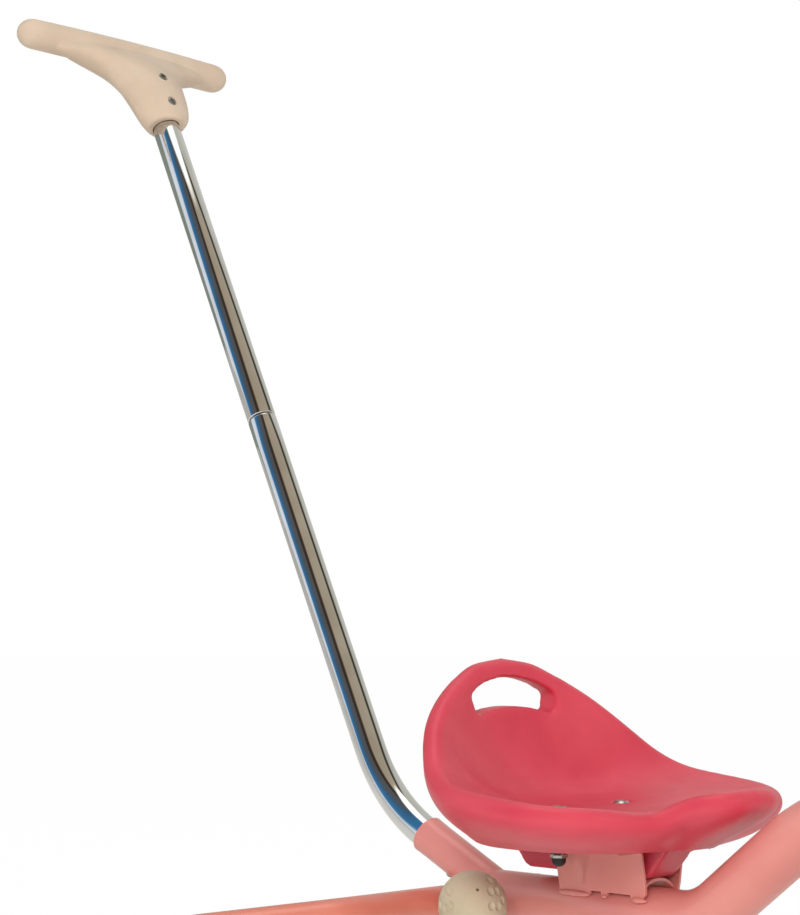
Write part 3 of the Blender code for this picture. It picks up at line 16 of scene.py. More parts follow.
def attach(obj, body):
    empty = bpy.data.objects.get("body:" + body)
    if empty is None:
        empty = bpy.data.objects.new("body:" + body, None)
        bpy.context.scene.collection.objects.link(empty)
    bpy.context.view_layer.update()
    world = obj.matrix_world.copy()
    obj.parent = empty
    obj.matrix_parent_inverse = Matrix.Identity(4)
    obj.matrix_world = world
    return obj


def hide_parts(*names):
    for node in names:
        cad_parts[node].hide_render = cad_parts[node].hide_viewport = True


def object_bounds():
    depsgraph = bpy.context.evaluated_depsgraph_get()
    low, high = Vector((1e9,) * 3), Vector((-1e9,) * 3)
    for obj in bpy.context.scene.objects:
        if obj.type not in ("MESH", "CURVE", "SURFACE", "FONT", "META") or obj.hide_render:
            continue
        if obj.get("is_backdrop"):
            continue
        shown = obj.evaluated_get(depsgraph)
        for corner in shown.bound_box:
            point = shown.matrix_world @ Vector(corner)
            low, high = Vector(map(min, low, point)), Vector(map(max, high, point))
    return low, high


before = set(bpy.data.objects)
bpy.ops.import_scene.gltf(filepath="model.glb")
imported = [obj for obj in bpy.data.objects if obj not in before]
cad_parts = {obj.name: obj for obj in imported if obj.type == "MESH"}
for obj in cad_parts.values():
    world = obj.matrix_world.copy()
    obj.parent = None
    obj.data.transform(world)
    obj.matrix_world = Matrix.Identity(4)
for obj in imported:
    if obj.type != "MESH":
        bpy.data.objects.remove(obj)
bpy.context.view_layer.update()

# %% [markdown]
# ## Where things are
#
# Places along the tricycle are easiest to read when they are measured forward of a zero at the
# seat bracket, because the seat, the handle and the frame all meet near it. One function moves
# such a place to the shared origin, which lies on the floor under the tricycle's middle.

# %% Places and directions
MIDDLE = 0.0445          # from the origin forward to the bracket's zero
GAP = 0.0003             # between two pieces that rest on each other
RUNNING = 0.0004         # round a shaft that turns in its bore
UP = Vector((0.0, 0.0, 1.0))
LEFT = Vector((0.0, 1.0, 0.0))
FORWARD = Vector((1.0, 0.0, 0.0))
SIDES = ((1, "left"), (-1, "right"))


def place(forward, left, up):
    return Vector((forward + MIDDLE, left, up))


def in_side_view(degrees):
    """The direction that rises by so many degrees from straight ahead."""
    angle = math.radians(degrees)
    return Vector((math.cos(angle), 0.0, math.sin(angle)))


def along(start, axis, across=LEFT):
    """The matrix that stands local Z on an axis at a point, with local X near a direction."""
    z = Vector(axis).normalized()
    x = Vector(across) - z * Vector(across).dot(z)
    if x.length < 0.05:
        x = FORWARD - z * z.x
    x.normalize()
    matrix = Matrix((x, z.cross(x), z)).transposed().to_4x4()
    matrix.translation = start
    return matrix


def smoothstep(low, high, value):
    share = min(1.0, max(0.0, (value - low) / (high - low)))
    return share * share * (3 - 2 * share)


# %% [markdown]
# ## The camera
#
# The photograph was taken from the right and in front, at about the height of the seat's back,
# looking slightly up. The direction comes from where the sideways lines of the tricycle meet in
# the picture, and the distance from how the seat's near rim differs in size from its far rim.

# %% Camera
IMAGE_WIDTH, IMAGE_HEIGHT = 800, 915
FOCAL_PIXELS = 2000.0
SENSOR = 36.0
CAMERA_PLACE = place(0.9246, -1.1235, 0.4279)
CAMERA_PITCH = 5.24      # degrees above level
CAMERA_TURN = 45.70      # degrees round from looking straight to the left

camera_data = bpy.data.cameras.new("camera")
camera_data.sensor_width = SENSOR
camera_data.lens = FOCAL_PIXELS * SENSOR / max(IMAGE_WIDTH, IMAGE_HEIGHT)
camera_data.clip_start = 0.05
camera = bpy.data.objects.new("camera", camera_data)
camera.location = CAMERA_PLACE
camera.rotation_euler = (math.radians(90 + CAMERA_PITCH), 0.0, math.radians(CAMERA_TURN))
bpy.context.scene.collection.objects.link(camera)
bpy.context.scene.camera = camera
print("lens", round(camera_data.lens, 1), "mm")

# %% [markdown]
# ## Colours and node helpers
#
# Colours are given as sRGB hex values, which one function turns into the linear numbers
# that shaders work with. One more function adds a shader node, sets its values and links its
# inputs, so that each material below reads like a recipe.

# %% Colour and node helpers


def colour(hex_value):
    parts = [int(hex_value[i:i + 2], 16) / 255 for i in (0, 2, 4)]
    linear = [p / 12.92 if p <= 0.04045 else ((p + 0.055) / 1.055) ** 2.4 for p in parts]
    return (*linear, 1.0)


def add_node(tree, kind, inputs=None, **settings):
    """Adds a node. An input is given as a value, or as a (node, output) pair to link."""
    node = tree.nodes.new("ShaderNode" + kind)
    for name, value in settings.items():
        setattr(node, name, value)
    for socket, value in (inputs or {}).items():
        if isinstance(value, tuple) and len(value) == 2 and isinstance(value[0], bpy.types.Node):
            tree.links.new(value[0].outputs[value[1]], node.inputs[socket])
        else:
            node.inputs[socket].default_value = value
    return node


def new_material(name, **shader_values):
    """A material with a Principled shader and object coordinates, ready for more nodes."""
    material = bpy.data.materials.new(name)
    material.use_nodes = True
    tree = material.node_tree
    shader = tree.nodes["Principled BSDF"]
    for socket, value in shader_values.items():
        shader.inputs[socket.replace("_", " ")].default_value = value
    where = add_node(tree, "TexCoord")
    return material, tree, shader, (where, "Object")


def two_tones(tree, shader, factor, low, high, dark, light):
    """Varies the base colour between two tones by a noise or other factor."""
    ramp = add_node(tree, "ValToRGB", {"Fac": factor})
    for stop, position, tint in zip(ramp.color_ramp.elements, (low, high), (dark, light)):
        stop.position = position
        stop.color = colour(tint)
    tree.links.new(ramp.outputs["Color"], shader.inputs["Base Color"])


def vary_roughness(tree, shader, factor, low, high):
    spread = add_node(tree, "MapRange", {"Value": factor, "To Min": low, "To Max": high})
    tree.links.new(spread.outputs["Result"], shader.inputs["Roughness"])


def add_bump(tree, shader, height, distance, strength, under=None):
    inputs = {"Height": height, "Distance": distance, "Strength": strength}
    if under:
        inputs["Normal"] = (under, "Normal")
    bump = add_node(tree, "Bump", inputs)
    tree.links.new(bump.outputs["Normal"], shader.inputs["Normal"])
    return bump


def clouds(tree, where, size_mm, detail):
    """Noise whose clouds are so many millimetres across, as a pair that can be linked."""
    inputs = {"Vector": where, "Scale": 1000.0 / size_mm, "Detail": detail}
    return add_node(tree, "TexNoise", inputs), "Fac"


# %% [markdown]
# ## Pink powder coat
#
# The frame is steel tube under a baked powder coat. Powder melts into a glossy skin with a
# faint orange peel, a few millimetres from crest to crest, and it lies thicker in some places
# than in others, so the colour drifts a little between a warmer and a cooler pink.

# %% Powder coat on steel tube


def make_powder_coat(name, dark, light):
    material, tree, shader, where = new_material(
        name, Roughness=0.34, IOR=1.5, Coat_Weight=0.35, Coat_Roughness=0.12, Coat_IOR=1.5)
    drift = clouds(tree, where, 60, 2.0)
    two_tones(tree, shader, drift, 0.30, 0.70, dark, light)
    haze = clouds(tree, where, 9, 3.0)
    vary_roughness(tree, shader, haze, 0.27, 0.42)
    peel = clouds(tree, where, 3.2, 1.5)
    add_bump(tree, shader, peel, 0.00010, 0.55)
    return material


pink_coat = make_powder_coat("powder_coated_steel", "DE8A84", "E79890")
# painted shade: the rear arch and the brake clips get a darker, warmer copy of the same pink coat,
# standing for how the light falls on the arch
arch_coat_painted_shade = make_powder_coat("painted_shade_powder_coat", "DC8270", "E48D7A")

# %% [markdown]
# ## Seat plastic
#
# The seat is blow-moulded polyethylene. Its mould was sandblasted, which leaves a fine satin
# grain, and the thick skin cools unevenly, so the gloss changes slowly over the surface and
# long, low waves run under the grain.

# %% Moulded red polyethylene


def make_seat_plastic():
    material, tree, shader, where = new_material(
        "moulded_polyethylene", Roughness=0.40, IOR=1.5, Subsurface_Weight=0.06,
        Subsurface_Scale=0.004, Coat_Weight=0.12, Coat_Roughness=0.35)
    cloud = clouds(tree, where, 45, 3.0)
    two_tones(tree, shader, cloud, 0.32, 0.70, "CE3B50", "D8465A")
    haze = clouds(tree, where, 14, 4.0)
    vary_roughness(tree, shader, haze, 0.33, 0.50)
    grain = clouds(tree, where, 0.9, 2.0)
    wave = clouds(tree, where, 22, 1.0)
    under = add_bump(tree, shader, wave, 0.0008, 0.35)
    add_bump(tree, shader, grain, 0.00006, 0.5, under)
    return material


seat_plastic = make_seat_plastic()

# %% [markdown]
# ## Cream plastic
#
# The grip, the ball and the wheels are injection-moulded in a warm cream. Such a pale plastic
# lets a little light in, and its mould leaves a faint satin texture. Broad, soft patches are a
# little darker than the rest.

# %% Moulded cream plastic


def make_cream(name, dark, light, roughness):
    material, tree, shader, where = new_material(
        name, Roughness=roughness, IOR=1.49, Subsurface_Weight=0.08, Subsurface_Scale=0.003)
    patch = clouds(tree, where, 38, 4.0)
    two_tones(tree, shader, patch, 0.35, 0.68, dark, light)
    haze = clouds(tree, where, 8, 3.0)
    vary_roughness(tree, shader, haze, roughness - 0.05, roughness + 0.08)
    grain = clouds(tree, where, 1.1, 2.0)
    add_bump(tree, shader, grain, 0.00005, 0.5)
    return material


grip_cream = make_cream("moulded_cream_nylon", "CDB9A4", "D8C5B1", 0.46)
ball_cream = make_cream("moulded_cream_urea", "C2B69C", "CDC2A8", 0.50)
wheel_cream = make_cream("moulded_cream_polypropylene", "D5C6B0", "DFD2BE", 0.42)

# %% [markdown]
# ## Metals
#
# The handle is chrome plate: a mirror, so nearly all of its look comes from what stands round
# it, with a gloss that drifts a little. The screws, the crank and the brake's rods are
# zinc-plated, which is duller and shows a slightly crystalline cloud.

# %% Chrome plate and zinc plate


def make_metal(name, dark, light, roughness, cloud_mm, bump):
    material, tree, shader, where = new_material(name, Metallic=1.0, Roughness=roughness)
    cloud = clouds(tree, where, cloud_mm, 4.0)
    two_tones(tree, shader, cloud, 0.30, 0.70, dark, light)
    vary_roughness(tree, shader, cloud, roughness * 0.7, roughness * 1.5)
    fine = clouds(tree, where, 2.5, 3.0)
    add_bump(tree, shader, fine, bump, 0.4)
    return material


chrome = make_metal("chrome_plate", "D4D4D2", "E2E3E4", 0.055, 30, 0.00001)
zinc = make_metal("zinc_plate", "A8A8A6", "C4C4C0", 0.26, 5, 0.00004)

# %% [markdown]
# ## Rubber and black plastic
#
# Tyres are moulded rubber: very dark, matt, with dust that greys it. The nuts' caps, the head
# bushes and the brake boots are plain black mouldings, a little glossier. The bushes of the
# wheels and the crank are nylon in its natural white.

# %% Rubber, black nylon and white nylon


def make_dull(name, dark, light, roughness, cloud_mm, grain_mm, depth):
    material, tree, shader, where = new_material(name, Roughness=roughness, IOR=1.5)
    dust = clouds(tree, where, cloud_mm, 5.0)
    two_tones(tree, shader, dust, 0.35, 0.75, dark, light)
    vary_roughness(tree, shader, dust, roughness - 0.08, roughness + 0.1)
    grain = clouds(tree, where, grain_mm, 2.0)
    add_bump(tree, shader, grain, depth, 0.5)
    return material


tyre_rubber = make_dull("moulded_tyre_rubber", "26231F", "39352F", 0.72, 18, 0.8, 0.00008)
black_nylon = make_dull("black_nylon", "151515", "222222", 0.42, 8, 0.7, 0.00004)
boot_rubber = make_dull("brake_boot_rubber", "1B1A19", "2B2927", 0.66, 6, 0.6, 0.00006)
white_nylon = make_dull("natural_nylon", "CFCCC0", "DAD7CB", 0.5, 7, 0.8, 0.00004)

# %% [markdown]
# ## Turning a mesh into a piece
#
# Every piece is modelled in a bmesh. This helper merges stray doubles, points the faces
# outwards, marks the sharp edges, and hands the object to the frame: which CAD body it rides
# on, and which CAD nodes it stands for.

# %% Finish a piece
pieces = {}


def finish_piece(name, mesh_work, material, body, replaces=(), sharp=38.0, doubles=0.00001,
                 recalculate=True):
    if doubles:
        bmesh.ops.remove_doubles(mesh_work, verts=mesh_work.verts, dist=doubles)
    if recalculate:
        bmesh.ops.recalc_face_normals(mesh_work, faces=mesh_work.faces)
    mesh = bpy.data.meshes.new(name)
    mesh_work.to_mesh(mesh)
    mesh_work.free()
    mesh.shade_smooth()
    mesh.set_sharp_from_angle(angle=math.radians(sharp))
    mesh.materials.append(material)
    piece = bpy.data.objects.new(name, mesh)
    bpy.context.scene.collection.objects.link(piece)
    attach(piece, body)
    for node in replaces:
        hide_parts(node)
    pieces[name] = piece
    return piece


def thicken(piece, wall, offset=-1.0, even=True):
    """Gives a skin a wall: inwards, or to both sides with an offset of 0."""
    shell = piece.modifiers.new("Wall", "SOLIDIFY")
    shell.thickness = wall
    shell.offset = offset
    shell.use_even_offset = even


def break_edges(piece, width, degrees):
    """Rounds the edges that are sharper than an angle."""
    edge = piece.modifiers.new("Broken edges", "BEVEL")
    edge.width = width
    edge.segments = 2
    edge.limit_method = "ANGLE"
    edge.angle_limit = math.radians(degrees)


def apply_modifiers(piece):
    """Swaps the piece's mesh for the one that its modifiers make."""
    bpy.context.view_layer.update()
    graph = bpy.context.evaluated_depsgraph_get()
    done = bpy.data.meshes.new_from_object(piece.evaluated_get(graph))
    piece.modifiers.clear()
    piece.data = done
    done.shade_smooth()


# %% [markdown]
# ## Turned shapes and bent tubes
#
# Half of the tricycle is round. A turned piece is a half outline that is spun about its axis. A
# bent tube is a ring of vertices that is extruded from station to station along the tube's
# middle line, which is made of straight runs joined by arcs, as a tube bender makes it.

# %% Turned shapes


def spin_profile(work, profile, matrix, steps, closed):
    """Spins points of radius and height about local Z, in a work that holds nothing else."""
    verts = [work.verts.new((radius, 0.0, height)) for radius, height in profile]
    edges = [work.edges.new(pair) for pair in zip(verts, verts[1:])]
    if closed:
        edges.append(work.edges.new((verts[-1], verts[0])))
    bmesh.ops.spin(work, geom=verts + edges, cent=(0, 0, 0), axis=(0, 0, 1), dvec=(0, 0, 0),
                   angle=math.tau, steps=steps, use_merge=True, use_duplicate=False)
    bmesh.ops.transform(work, matrix=matrix, verts=work.verts)


def turned(name, profile, matrix, material, body, replaces, steps=64, closed=False):
    work = bmesh.new()
    spin_profile(work, profile, matrix, steps, closed)
    return finish_piece(name, work, material, body, replaces)


def corner_arc(start, corner, end, steps):
    """The points of an arc that leaves one line and joins another near their corner."""
    points = []
    for i in range(steps + 1):
        t = i / steps
        point = start * (1 - t) ** 2 + corner * 2 * t * (1 - t) + end * t ** 2
        points.append((point.x, point.y))
    return points


def rounded_profile(points, radius):
    """Rounds the corners of an open profile with short arcs."""
    result = [points[0]]
    for before, here, after in zip(points, points[1:], points[2:]):
        corner = Vector(here)
        back, ahead = Vector(before) - corner, Vector(after) - corner
        reach = min(radius, back.length * 0.45, ahead.length * 0.45)
        start = corner + back.normalized() * reach
        end = corner + ahead.normalized() * reach
        result += corner_arc(start, corner, end, 3)
    result.append(points[-1])
    return result


# %% Bent tubes


def bent_path(corners, radii, step_degrees=5.0):
    """The middle line of a bent tube: straight runs joined by arcs at the inner corners."""
    corners = [Vector(corner) for corner in corners]
    points = [corners[0]]
    for before, corner, after, radius in zip(corners, corners[1:], corners[2:], radii):
        back = (before - corner).normalized()
        ahead = (after - corner).normalized()
        turn = math.pi - back.angle(ahead)
        reach = radius * math.tan(turn / 2)
        centre = corner + (back + ahead).normalized() * radius / math.cos(turn / 2)
        first = corner + back * reach - centre
        count = max(3, math.ceil(math.degrees(turn) / step_degrees))
        for i in range(count + 1):
            points.append(centre + Matrix.Rotation(-turn * i / count, 3, back.cross(ahead)) @ first)
    points.append(corners[-1])
    return points


def frames_along(points):
    """A matrix at each point that looks along the path and turns as little as possible."""
    points = [Vector(p) for p in points]
    tangents = []
    for i in range(len(points)):
        before, after = points[max(0, i - 1)], points[min(len(points) - 1, i + 1)]
        tangents.append((after - before).normalized())
    matrices, across = [], LEFT if abs(tangents[0].dot(LEFT)) < 0.9 else FORWARD
    for point, tangent in zip(points, tangents):
        across = (across - tangent * across.dot(tangent)).normalized()
        matrix = Matrix((across, tangent.cross(across), tangent)).transposed().to_4x4()
        matrix.translation = point
        matrices.append(matrix)
    return matrices


def sweep(work, points, radii, sides, cap=True):
    """Extrudes a ring from station to station, each station with its own radius."""
    ring, start_ring = None, None
    for matrix, radius in zip(frames_along(points), radii):
        if ring is None:
            made = bmesh.ops.create_circle(work, cap_ends=False, radius=1.0, segments=sides)
            verts = made["verts"]
            ring = list(dict.fromkeys(edge for vert in verts for edge in vert.link_edges))
            start_ring = list(ring)
        else:
            made = bmesh.ops.extrude_edge_only(work, edges=ring)["geom"]
            verts = [item for item in made if isinstance(item, bmesh.types.BMVert)]
            ring = [item for item in made if isinstance(item, bmesh.types.BMEdge)]
            bmesh.ops.transform(work, matrix=last.inverted(), verts=verts)
        last = matrix @ Matrix.Diagonal((radius, radius, 1.0, 1.0))
        bmesh.ops.transform(work, matrix=last, verts=verts)
    if cap:
        bmesh.ops.holes_fill(work, edges=start_ring + ring)


def solid_rod(name, points, diameter, material, body, replaces, sides):
    work = bmesh.new()
    sweep(work, points, [diameter / 2] * len(points), sides)
    return finish_piece(name, work, material, body, replaces)


RIM_BREAK = 0.0004       # the edge that a tube cutter's wheel turns in


def tube(name, points, diameter, wall, material, body, replaces, sides=48, radii=None):
    """A hollow tube with open ends whose rims are slightly broken, as a tube cutter leaves them."""
    work = bmesh.new()
    outer = [diameter / 2] * len(points) if radii is None else radii
    sweep(work, points, outer, sides, cap=False)
    bmesh.ops.recalc_face_normals(work, faces=work.faces)
    probe = work.faces[:][0]
    middle = probe.calc_center_median()
    if probe.normal.dot(middle - (Vector(points[0]) + Vector(points[1])) / 2) < 0:
        bmesh.ops.reverse_faces(work, faces=work.faces)
    piece = finish_piece(name, work, material, body, replaces, recalculate=False)
    thicken(piece, wall)
    break_edges(piece, min(RIM_BREAK, wall * 0.3), 50)
    return piece


def evenly(points, spacing):
    """The same path with extra points, so that long straight runs have stations too."""
    result = [Vector(points[0])]
    for start, end in zip(points, points[1:]):
        count = max(1, math.ceil((end - start).length / spacing))
        result += [start.lerp(end, i / count) for i in range(1, count + 1)]
    return result


# %% [markdown]
# ## Main tube
#
# One 40 mm tube runs level under the seat, climbs in two bends and meets the head tube. It is
# the longest painted piece, so its bends are fine enough to show one smooth highlight.

# %% Main tube
TUBE_D, TUBE_Z = 0.040, 0.236
TUBE_BEND_F, TUBE_BEND_R, TUBE_RISE = 0.0714, 0.056, 38.5
TUBE_KNEE_F, TUBE_KNEE_R, TUBE_TOP_RISE = 0.152, 0.150, 27.0
TUBE_END_BACK = 0.0185   # of the tube's end behind the head tube's axis
ARCH_F, ARCH_Z, ARCH_D = -0.182, 0.2245, 0.028
HEAD_ANGLE, HEAD_F, HEAD_Z = 78.0, 0.324, 0.380
HEAD_D, HEAD_WALL, HEAD_LENGTH = 0.036, 0.0020, 0.100
STEER_UP = in_side_view(180.0 - HEAD_ANGLE)
STEER_BACK = -STEER_UP.cross(LEFT)
HEAD_MIDDLE = place(HEAD_F, 0.0, HEAD_Z)


def tan_deg(degrees):
    return math.tan(math.radians(degrees))


knee_z = TUBE_Z + (TUBE_KNEE_F - TUBE_BEND_F) * tan_deg(TUBE_RISE)
top_z = knee_z + (HEAD_F - TUBE_KNEE_F) * tan_deg(TUBE_TOP_RISE)
tube_corners = [
    place(ARCH_F, 0.0, TUBE_Z),
    place(TUBE_BEND_F, 0.0, TUBE_Z),
    place(TUBE_KNEE_F, 0.0, knee_z),
    place(HEAD_F - TUBE_END_BACK, 0.0, top_z - TUBE_END_BACK * tan_deg(TUBE_TOP_RISE)),
]
tube_path = evenly(bent_path(tube_corners, [TUBE_BEND_R, TUBE_KNEE_R], 3.0), 0.02)
main_tube = solid_rod("main_tube_skin", tube_path, TUBE_D, pink_coat, "frame", ["main_tube"], 56)
print("main tube", len(tube_path), "stations")


# %% [markdown]
# ## Handle socket and rear arch
#
# The push handle plugs into a short socket that slants into the main tube. Its mouth was left
# slightly bell-shaped by the press. Behind it a thinner tube crosses the frame, sweeps back
# on each side and turns down to carry the rear axle.

# %% Handle socket
SOCKET_D, SOCKET_BORE, SOCKET_ANGLE = 0.029, 0.0256, 26.0
SOCKET_MOUTH = place(-0.195, 0.0, 0.277)
SOCKET_OUT = in_side_view(180.0 - SOCKET_ANGLE)
SOCKET_DOWN = in_side_view(270.0 - SOCKET_ANGLE)
SOCKET_LENGTH = 0.094
BELL, BELL_LENGTH = 0.0004, 0.012     # how far the mouth opens, and over what length
outer, bore = SOCKET_D / 2, SOCKET_BORE / 2
socket_profile = [
    (outer + BELL, 0.0), (outer + BELL / 2, -BELL_LENGTH / 3), (outer, -BELL_LENGTH),
    (outer, -SOCKET_LENGTH), (bore, -SOCKET_LENGTH), (bore, 0.0),
]
socket_profile = rounded_profile(socket_profile + [socket_profile[0]], radius=0.0008)[:-1]
socket_tube = turned("handle_socket_skin", socket_profile, along(SOCKET_MOUTH, SOCKET_OUT),
                     pink_coat, "frame", ["handle_socket"], closed=True)

# %% Rear arch
ARCH_WALL, ARCH_MIDDLE_HALF, ARCH_SIDE_F, ARCH_TILT = 0.0018, 0.104, -0.269, 0.16
LEG_Y, ARCH_BEND_R, LEG_BEND_R, LEG_OVERRUN = 0.212, 0.055, 0.040, 0.014
REAR_AXLE_F, REAR_AXLE_Z = -0.282, 0.105
half_arch = [
    (ARCH_F, ARCH_MIDDLE_HALF, ARCH_Z),
    (ARCH_SIDE_F, LEG_Y, ARCH_Z + ARCH_TILT * (ARCH_SIDE_F - ARCH_F)),
    (REAR_AXLE_F, LEG_Y, REAR_AXLE_Z - LEG_OVERRUN),
]
arch_corners = [place(f, -y, z) for f, y, z in reversed(half_arch)]
arch_corners += [place(f, y, z) for f, y, z in half_arch]
arch_radii = [LEG_BEND_R, ARCH_BEND_R, ARCH_BEND_R, LEG_BEND_R]
arch_path = evenly(bent_path(arch_corners, arch_radii), 0.02)
# the arch wears the pink coat's darker, warmer copy, which is painted shade
tube("rear_arch_skin", arch_path, ARCH_D, ARCH_WALL, arch_coat_painted_shade, "frame", ["rear_arch"])

# %% [markdown]
# ## Push handle tubes
#
# The lower tube bends up out of the socket. Its far end is swaged down so that the upper tube
# slides over it, and the joint shows as a thin dark line between two rounded rims.

# %% Push handle tubes
HANDLE_D, HANDLE_WALL, HANDLE_LEAN = 0.025, 0.0015, 26.3
HANDLE_UP = in_side_view(90.0 + HANDLE_LEAN)
HANDLE_BACK = in_side_view(180.0 + HANDLE_LEAN)
HANDLE_BEND_OUT, HANDLE_BEND_R, HANDLE_INSERT = 0.0503, 0.138, 0.070
LOWER_LENGTH, UPPER_LENGTH, NECK_LENGTH, JOINT_LINE = 0.358, 0.3675, 0.060, 0.0012
HANDLE_TURN = SOCKET_MOUTH + SOCKET_OUT * HANDLE_BEND_OUT
HANDLE_JOINT = HANDLE_TURN + HANDLE_UP * LOWER_LENGTH
HANDLE_TOP = HANDLE_JOINT + HANDLE_UP * UPPER_LENGTH
NECK_D = HANDLE_D - 2 * HANDLE_WALL - 2 * GAP
handle_corners = [SOCKET_MOUTH - SOCKET_OUT * HANDLE_INSERT, HANDLE_TURN,
                  HANDLE_JOINT - HANDLE_UP * JOINT_LINE]
handle_path = evenly(bent_path(handle_corners, [HANDLE_BEND_R], 2.0), 0.03)
radii = [HANDLE_D / 2] * len(handle_path)
# the rim rolls in, and the swaged neck runs on inside the upper tube
handle_path += [HANDLE_JOINT + HANDLE_UP * up for up in (-0.0005, 0.0, 0.0004, NECK_LENGTH)]
radii += [HANDLE_D / 2 - 0.0002, HANDLE_D / 2 - 0.0008, NECK_D / 2, NECK_D / 2]
lower_tube = tube("lower_push_tube_skin", handle_path, HANDLE_D, HANDLE_WALL, chrome, "frame",
                  ["lower_push_tube"], sides=64, radii=radii)
outer, bore = HANDLE_D / 2, HANDLE_D / 2 - HANDLE_WALL
length = (HANDLE_TOP - HANDLE_JOINT).length
upper_profile = [
    (bore, length), (outer - 0.0002, length), (outer, length - 0.0003), (outer, 0.0022),
    (outer - 0.0002, 0.0015), (outer - 0.0007, 0.0011), (bore, 0.0010),
]
upper_tube = turned("upper_push_tube_skin", upper_profile, along(HANDLE_JOINT, HANDLE_UP), chrome,
                    "frame", ["upper_push_tube"], closed=True)

# %% [markdown]
# ## Joining, cutting and softening
#
# A moulding is often a sum of plain shapes whose meeting edges are rounded. The shapes are
# joined and cut with booleans. A voxel remesh then gives the sum one even skin, and a little
# smoothing rounds every edge by about the same amount, as a mould maker's fillets do.

# %% Join, cut and soften


def helper_object(name, work):
    """A shape that only joins or cuts, and is removed afterwards."""
    bmesh.ops.recalc_face_normals(work, faces=work.faces)
    mesh = bpy.data.meshes.new(name)
    work.to_mesh(mesh)
    work.free()
    helper = bpy.data.objects.new(name, mesh)
    bpy.context.scene.collection.objects.link(helper)
    return helper


def combine(piece, work, operation="DIFFERENCE"):
    """Cuts a piece by the shape in a bmesh, or joins it with that shape."""
    tool = helper_object("tool", work)
    step = piece.modifiers.new("Combine", "BOOLEAN")
    step.operation = operation
    step.solver = "EXACT"
    step.object = tool
    apply_modifiers(piece)
    piece.data.set_sharp_from_angle(angle=math.radians(38))
    bpy.data.objects.remove(tool, do_unlink=True)


def soften(piece, voxel, rounds):
    """One even skin over the whole piece, smoothed so many times."""
    skin = piece.modifiers.new("Skin", "REMESH")
    skin.mode = "VOXEL"
    skin.voxel_size = voxel * 1.0
    smooth = piece.modifiers.new("Smooth", "SMOOTH")
    smooth.factor = 0.5
    smooth.iterations = rounds
    apply_modifiers(piece)
    print(piece.name, len(piece.data.polygons), "faces")


def prism(outline, thickness, matrix):
    """A flat outline in local X and Y, given half its thickness to each side."""
    work = bmesh.new()
    face = work.faces.new([work.verts.new((x, y, -thickness / 2)) for x, y in outline])
    made = bmesh.ops.extrude_face_region(work, geom=[face])["geom"]
    verts = [item for item in made if isinstance(item, bmesh.types.BMVert)]
    bmesh.ops.translate(work, vec=(0.0, 0.0, thickness), verts=verts)
    bmesh.ops.transform(work, matrix=matrix, verts=work.verts)
    bmesh.ops.recalc_face_normals(work, faces=work.faces)
    return work


def bar(start, end, diameter, sides=48):
    """A plain round cutter between two points."""
    work = bmesh.new()
    sweep(work, [start, end], [diameter / 2] * 2, sides)
    bmesh.ops.recalc_face_normals(work, faces=work.faces)
    return work


def round_edges(work, width, segments=3):
    bmesh.ops.bevel(work, geom=work.edges[:], offset=width, offset_type="OFFSET", segments=segments,
                    profile=0.5, affect="EDGES", material=-1)
    return work


def extrude_loop(work, loop):
    """Extrudes an ordered ring of vertices in place and returns the new ring in that order."""
    edges = [work.edges.get(pair) for pair in zip(loop, loop[1:] + loop[:1])]
    made = bmesh.ops.extrude_edge_only(work, edges=edges)["geom"]
    fresh = {item for item in made if isinstance(item, bmesh.types.BMVert)}
    return [next(e.other_vert(v) for e in v.link_edges if e.other_vert(v) in fresh) for v in loop]


def weld_bead(work, points, radius, seed):
    """A lumpy bead of weld along points, thicker and thinner as the torch moved."""
    radii = []
    for i, point in enumerate(points):
        lump = noise.noise(Vector(point) * 420 + Vector((seed, 0, 0)))
        end = min(1.0, 0.35 + 0.65 * min(i, len(points) - 1 - i) / 3)
        radii.append(radius * (1 + 0.35 * lump) * end)
    sweep(work, points, radii, 10)


# %% [markdown]
# ## Seat
#
# The bucket seat is the largest moulding. Its rim rises to a high back, dips at the sides and
# runs out in a nose over the main tube. The skin is a stack of rings: they start in the middle of
# the pan, roll over the rim and drop to the flat base. A ring is extruded from the one before and
# laid on the formula, so that one table of rim points shapes the whole seat.

# %% Seat outline
SEAT_FLOOR_F, SEAT_FLOOR_Z = -0.010, 0.309
PAN_STEEP, BACK_STEEPER = 2.2, 3.6       # how late the pan rises, and how much later at the back
NOSE_FROM, NOSE_BLEND = 0.66, 0.16       # shares of the way where the side becomes the nose's
FLANGE_TOP_Z = 0.2835
SEAT_BASE_Z = FLANGE_TOP_Z + GAP
RIM_OUT, RIM_DROP, SEAT_WALL = 0.008, 0.009, 0.0036
KEEL_HALF, KEEL_Z, BRACKET_FRONT_F = 0.016, 0.263, 0.037
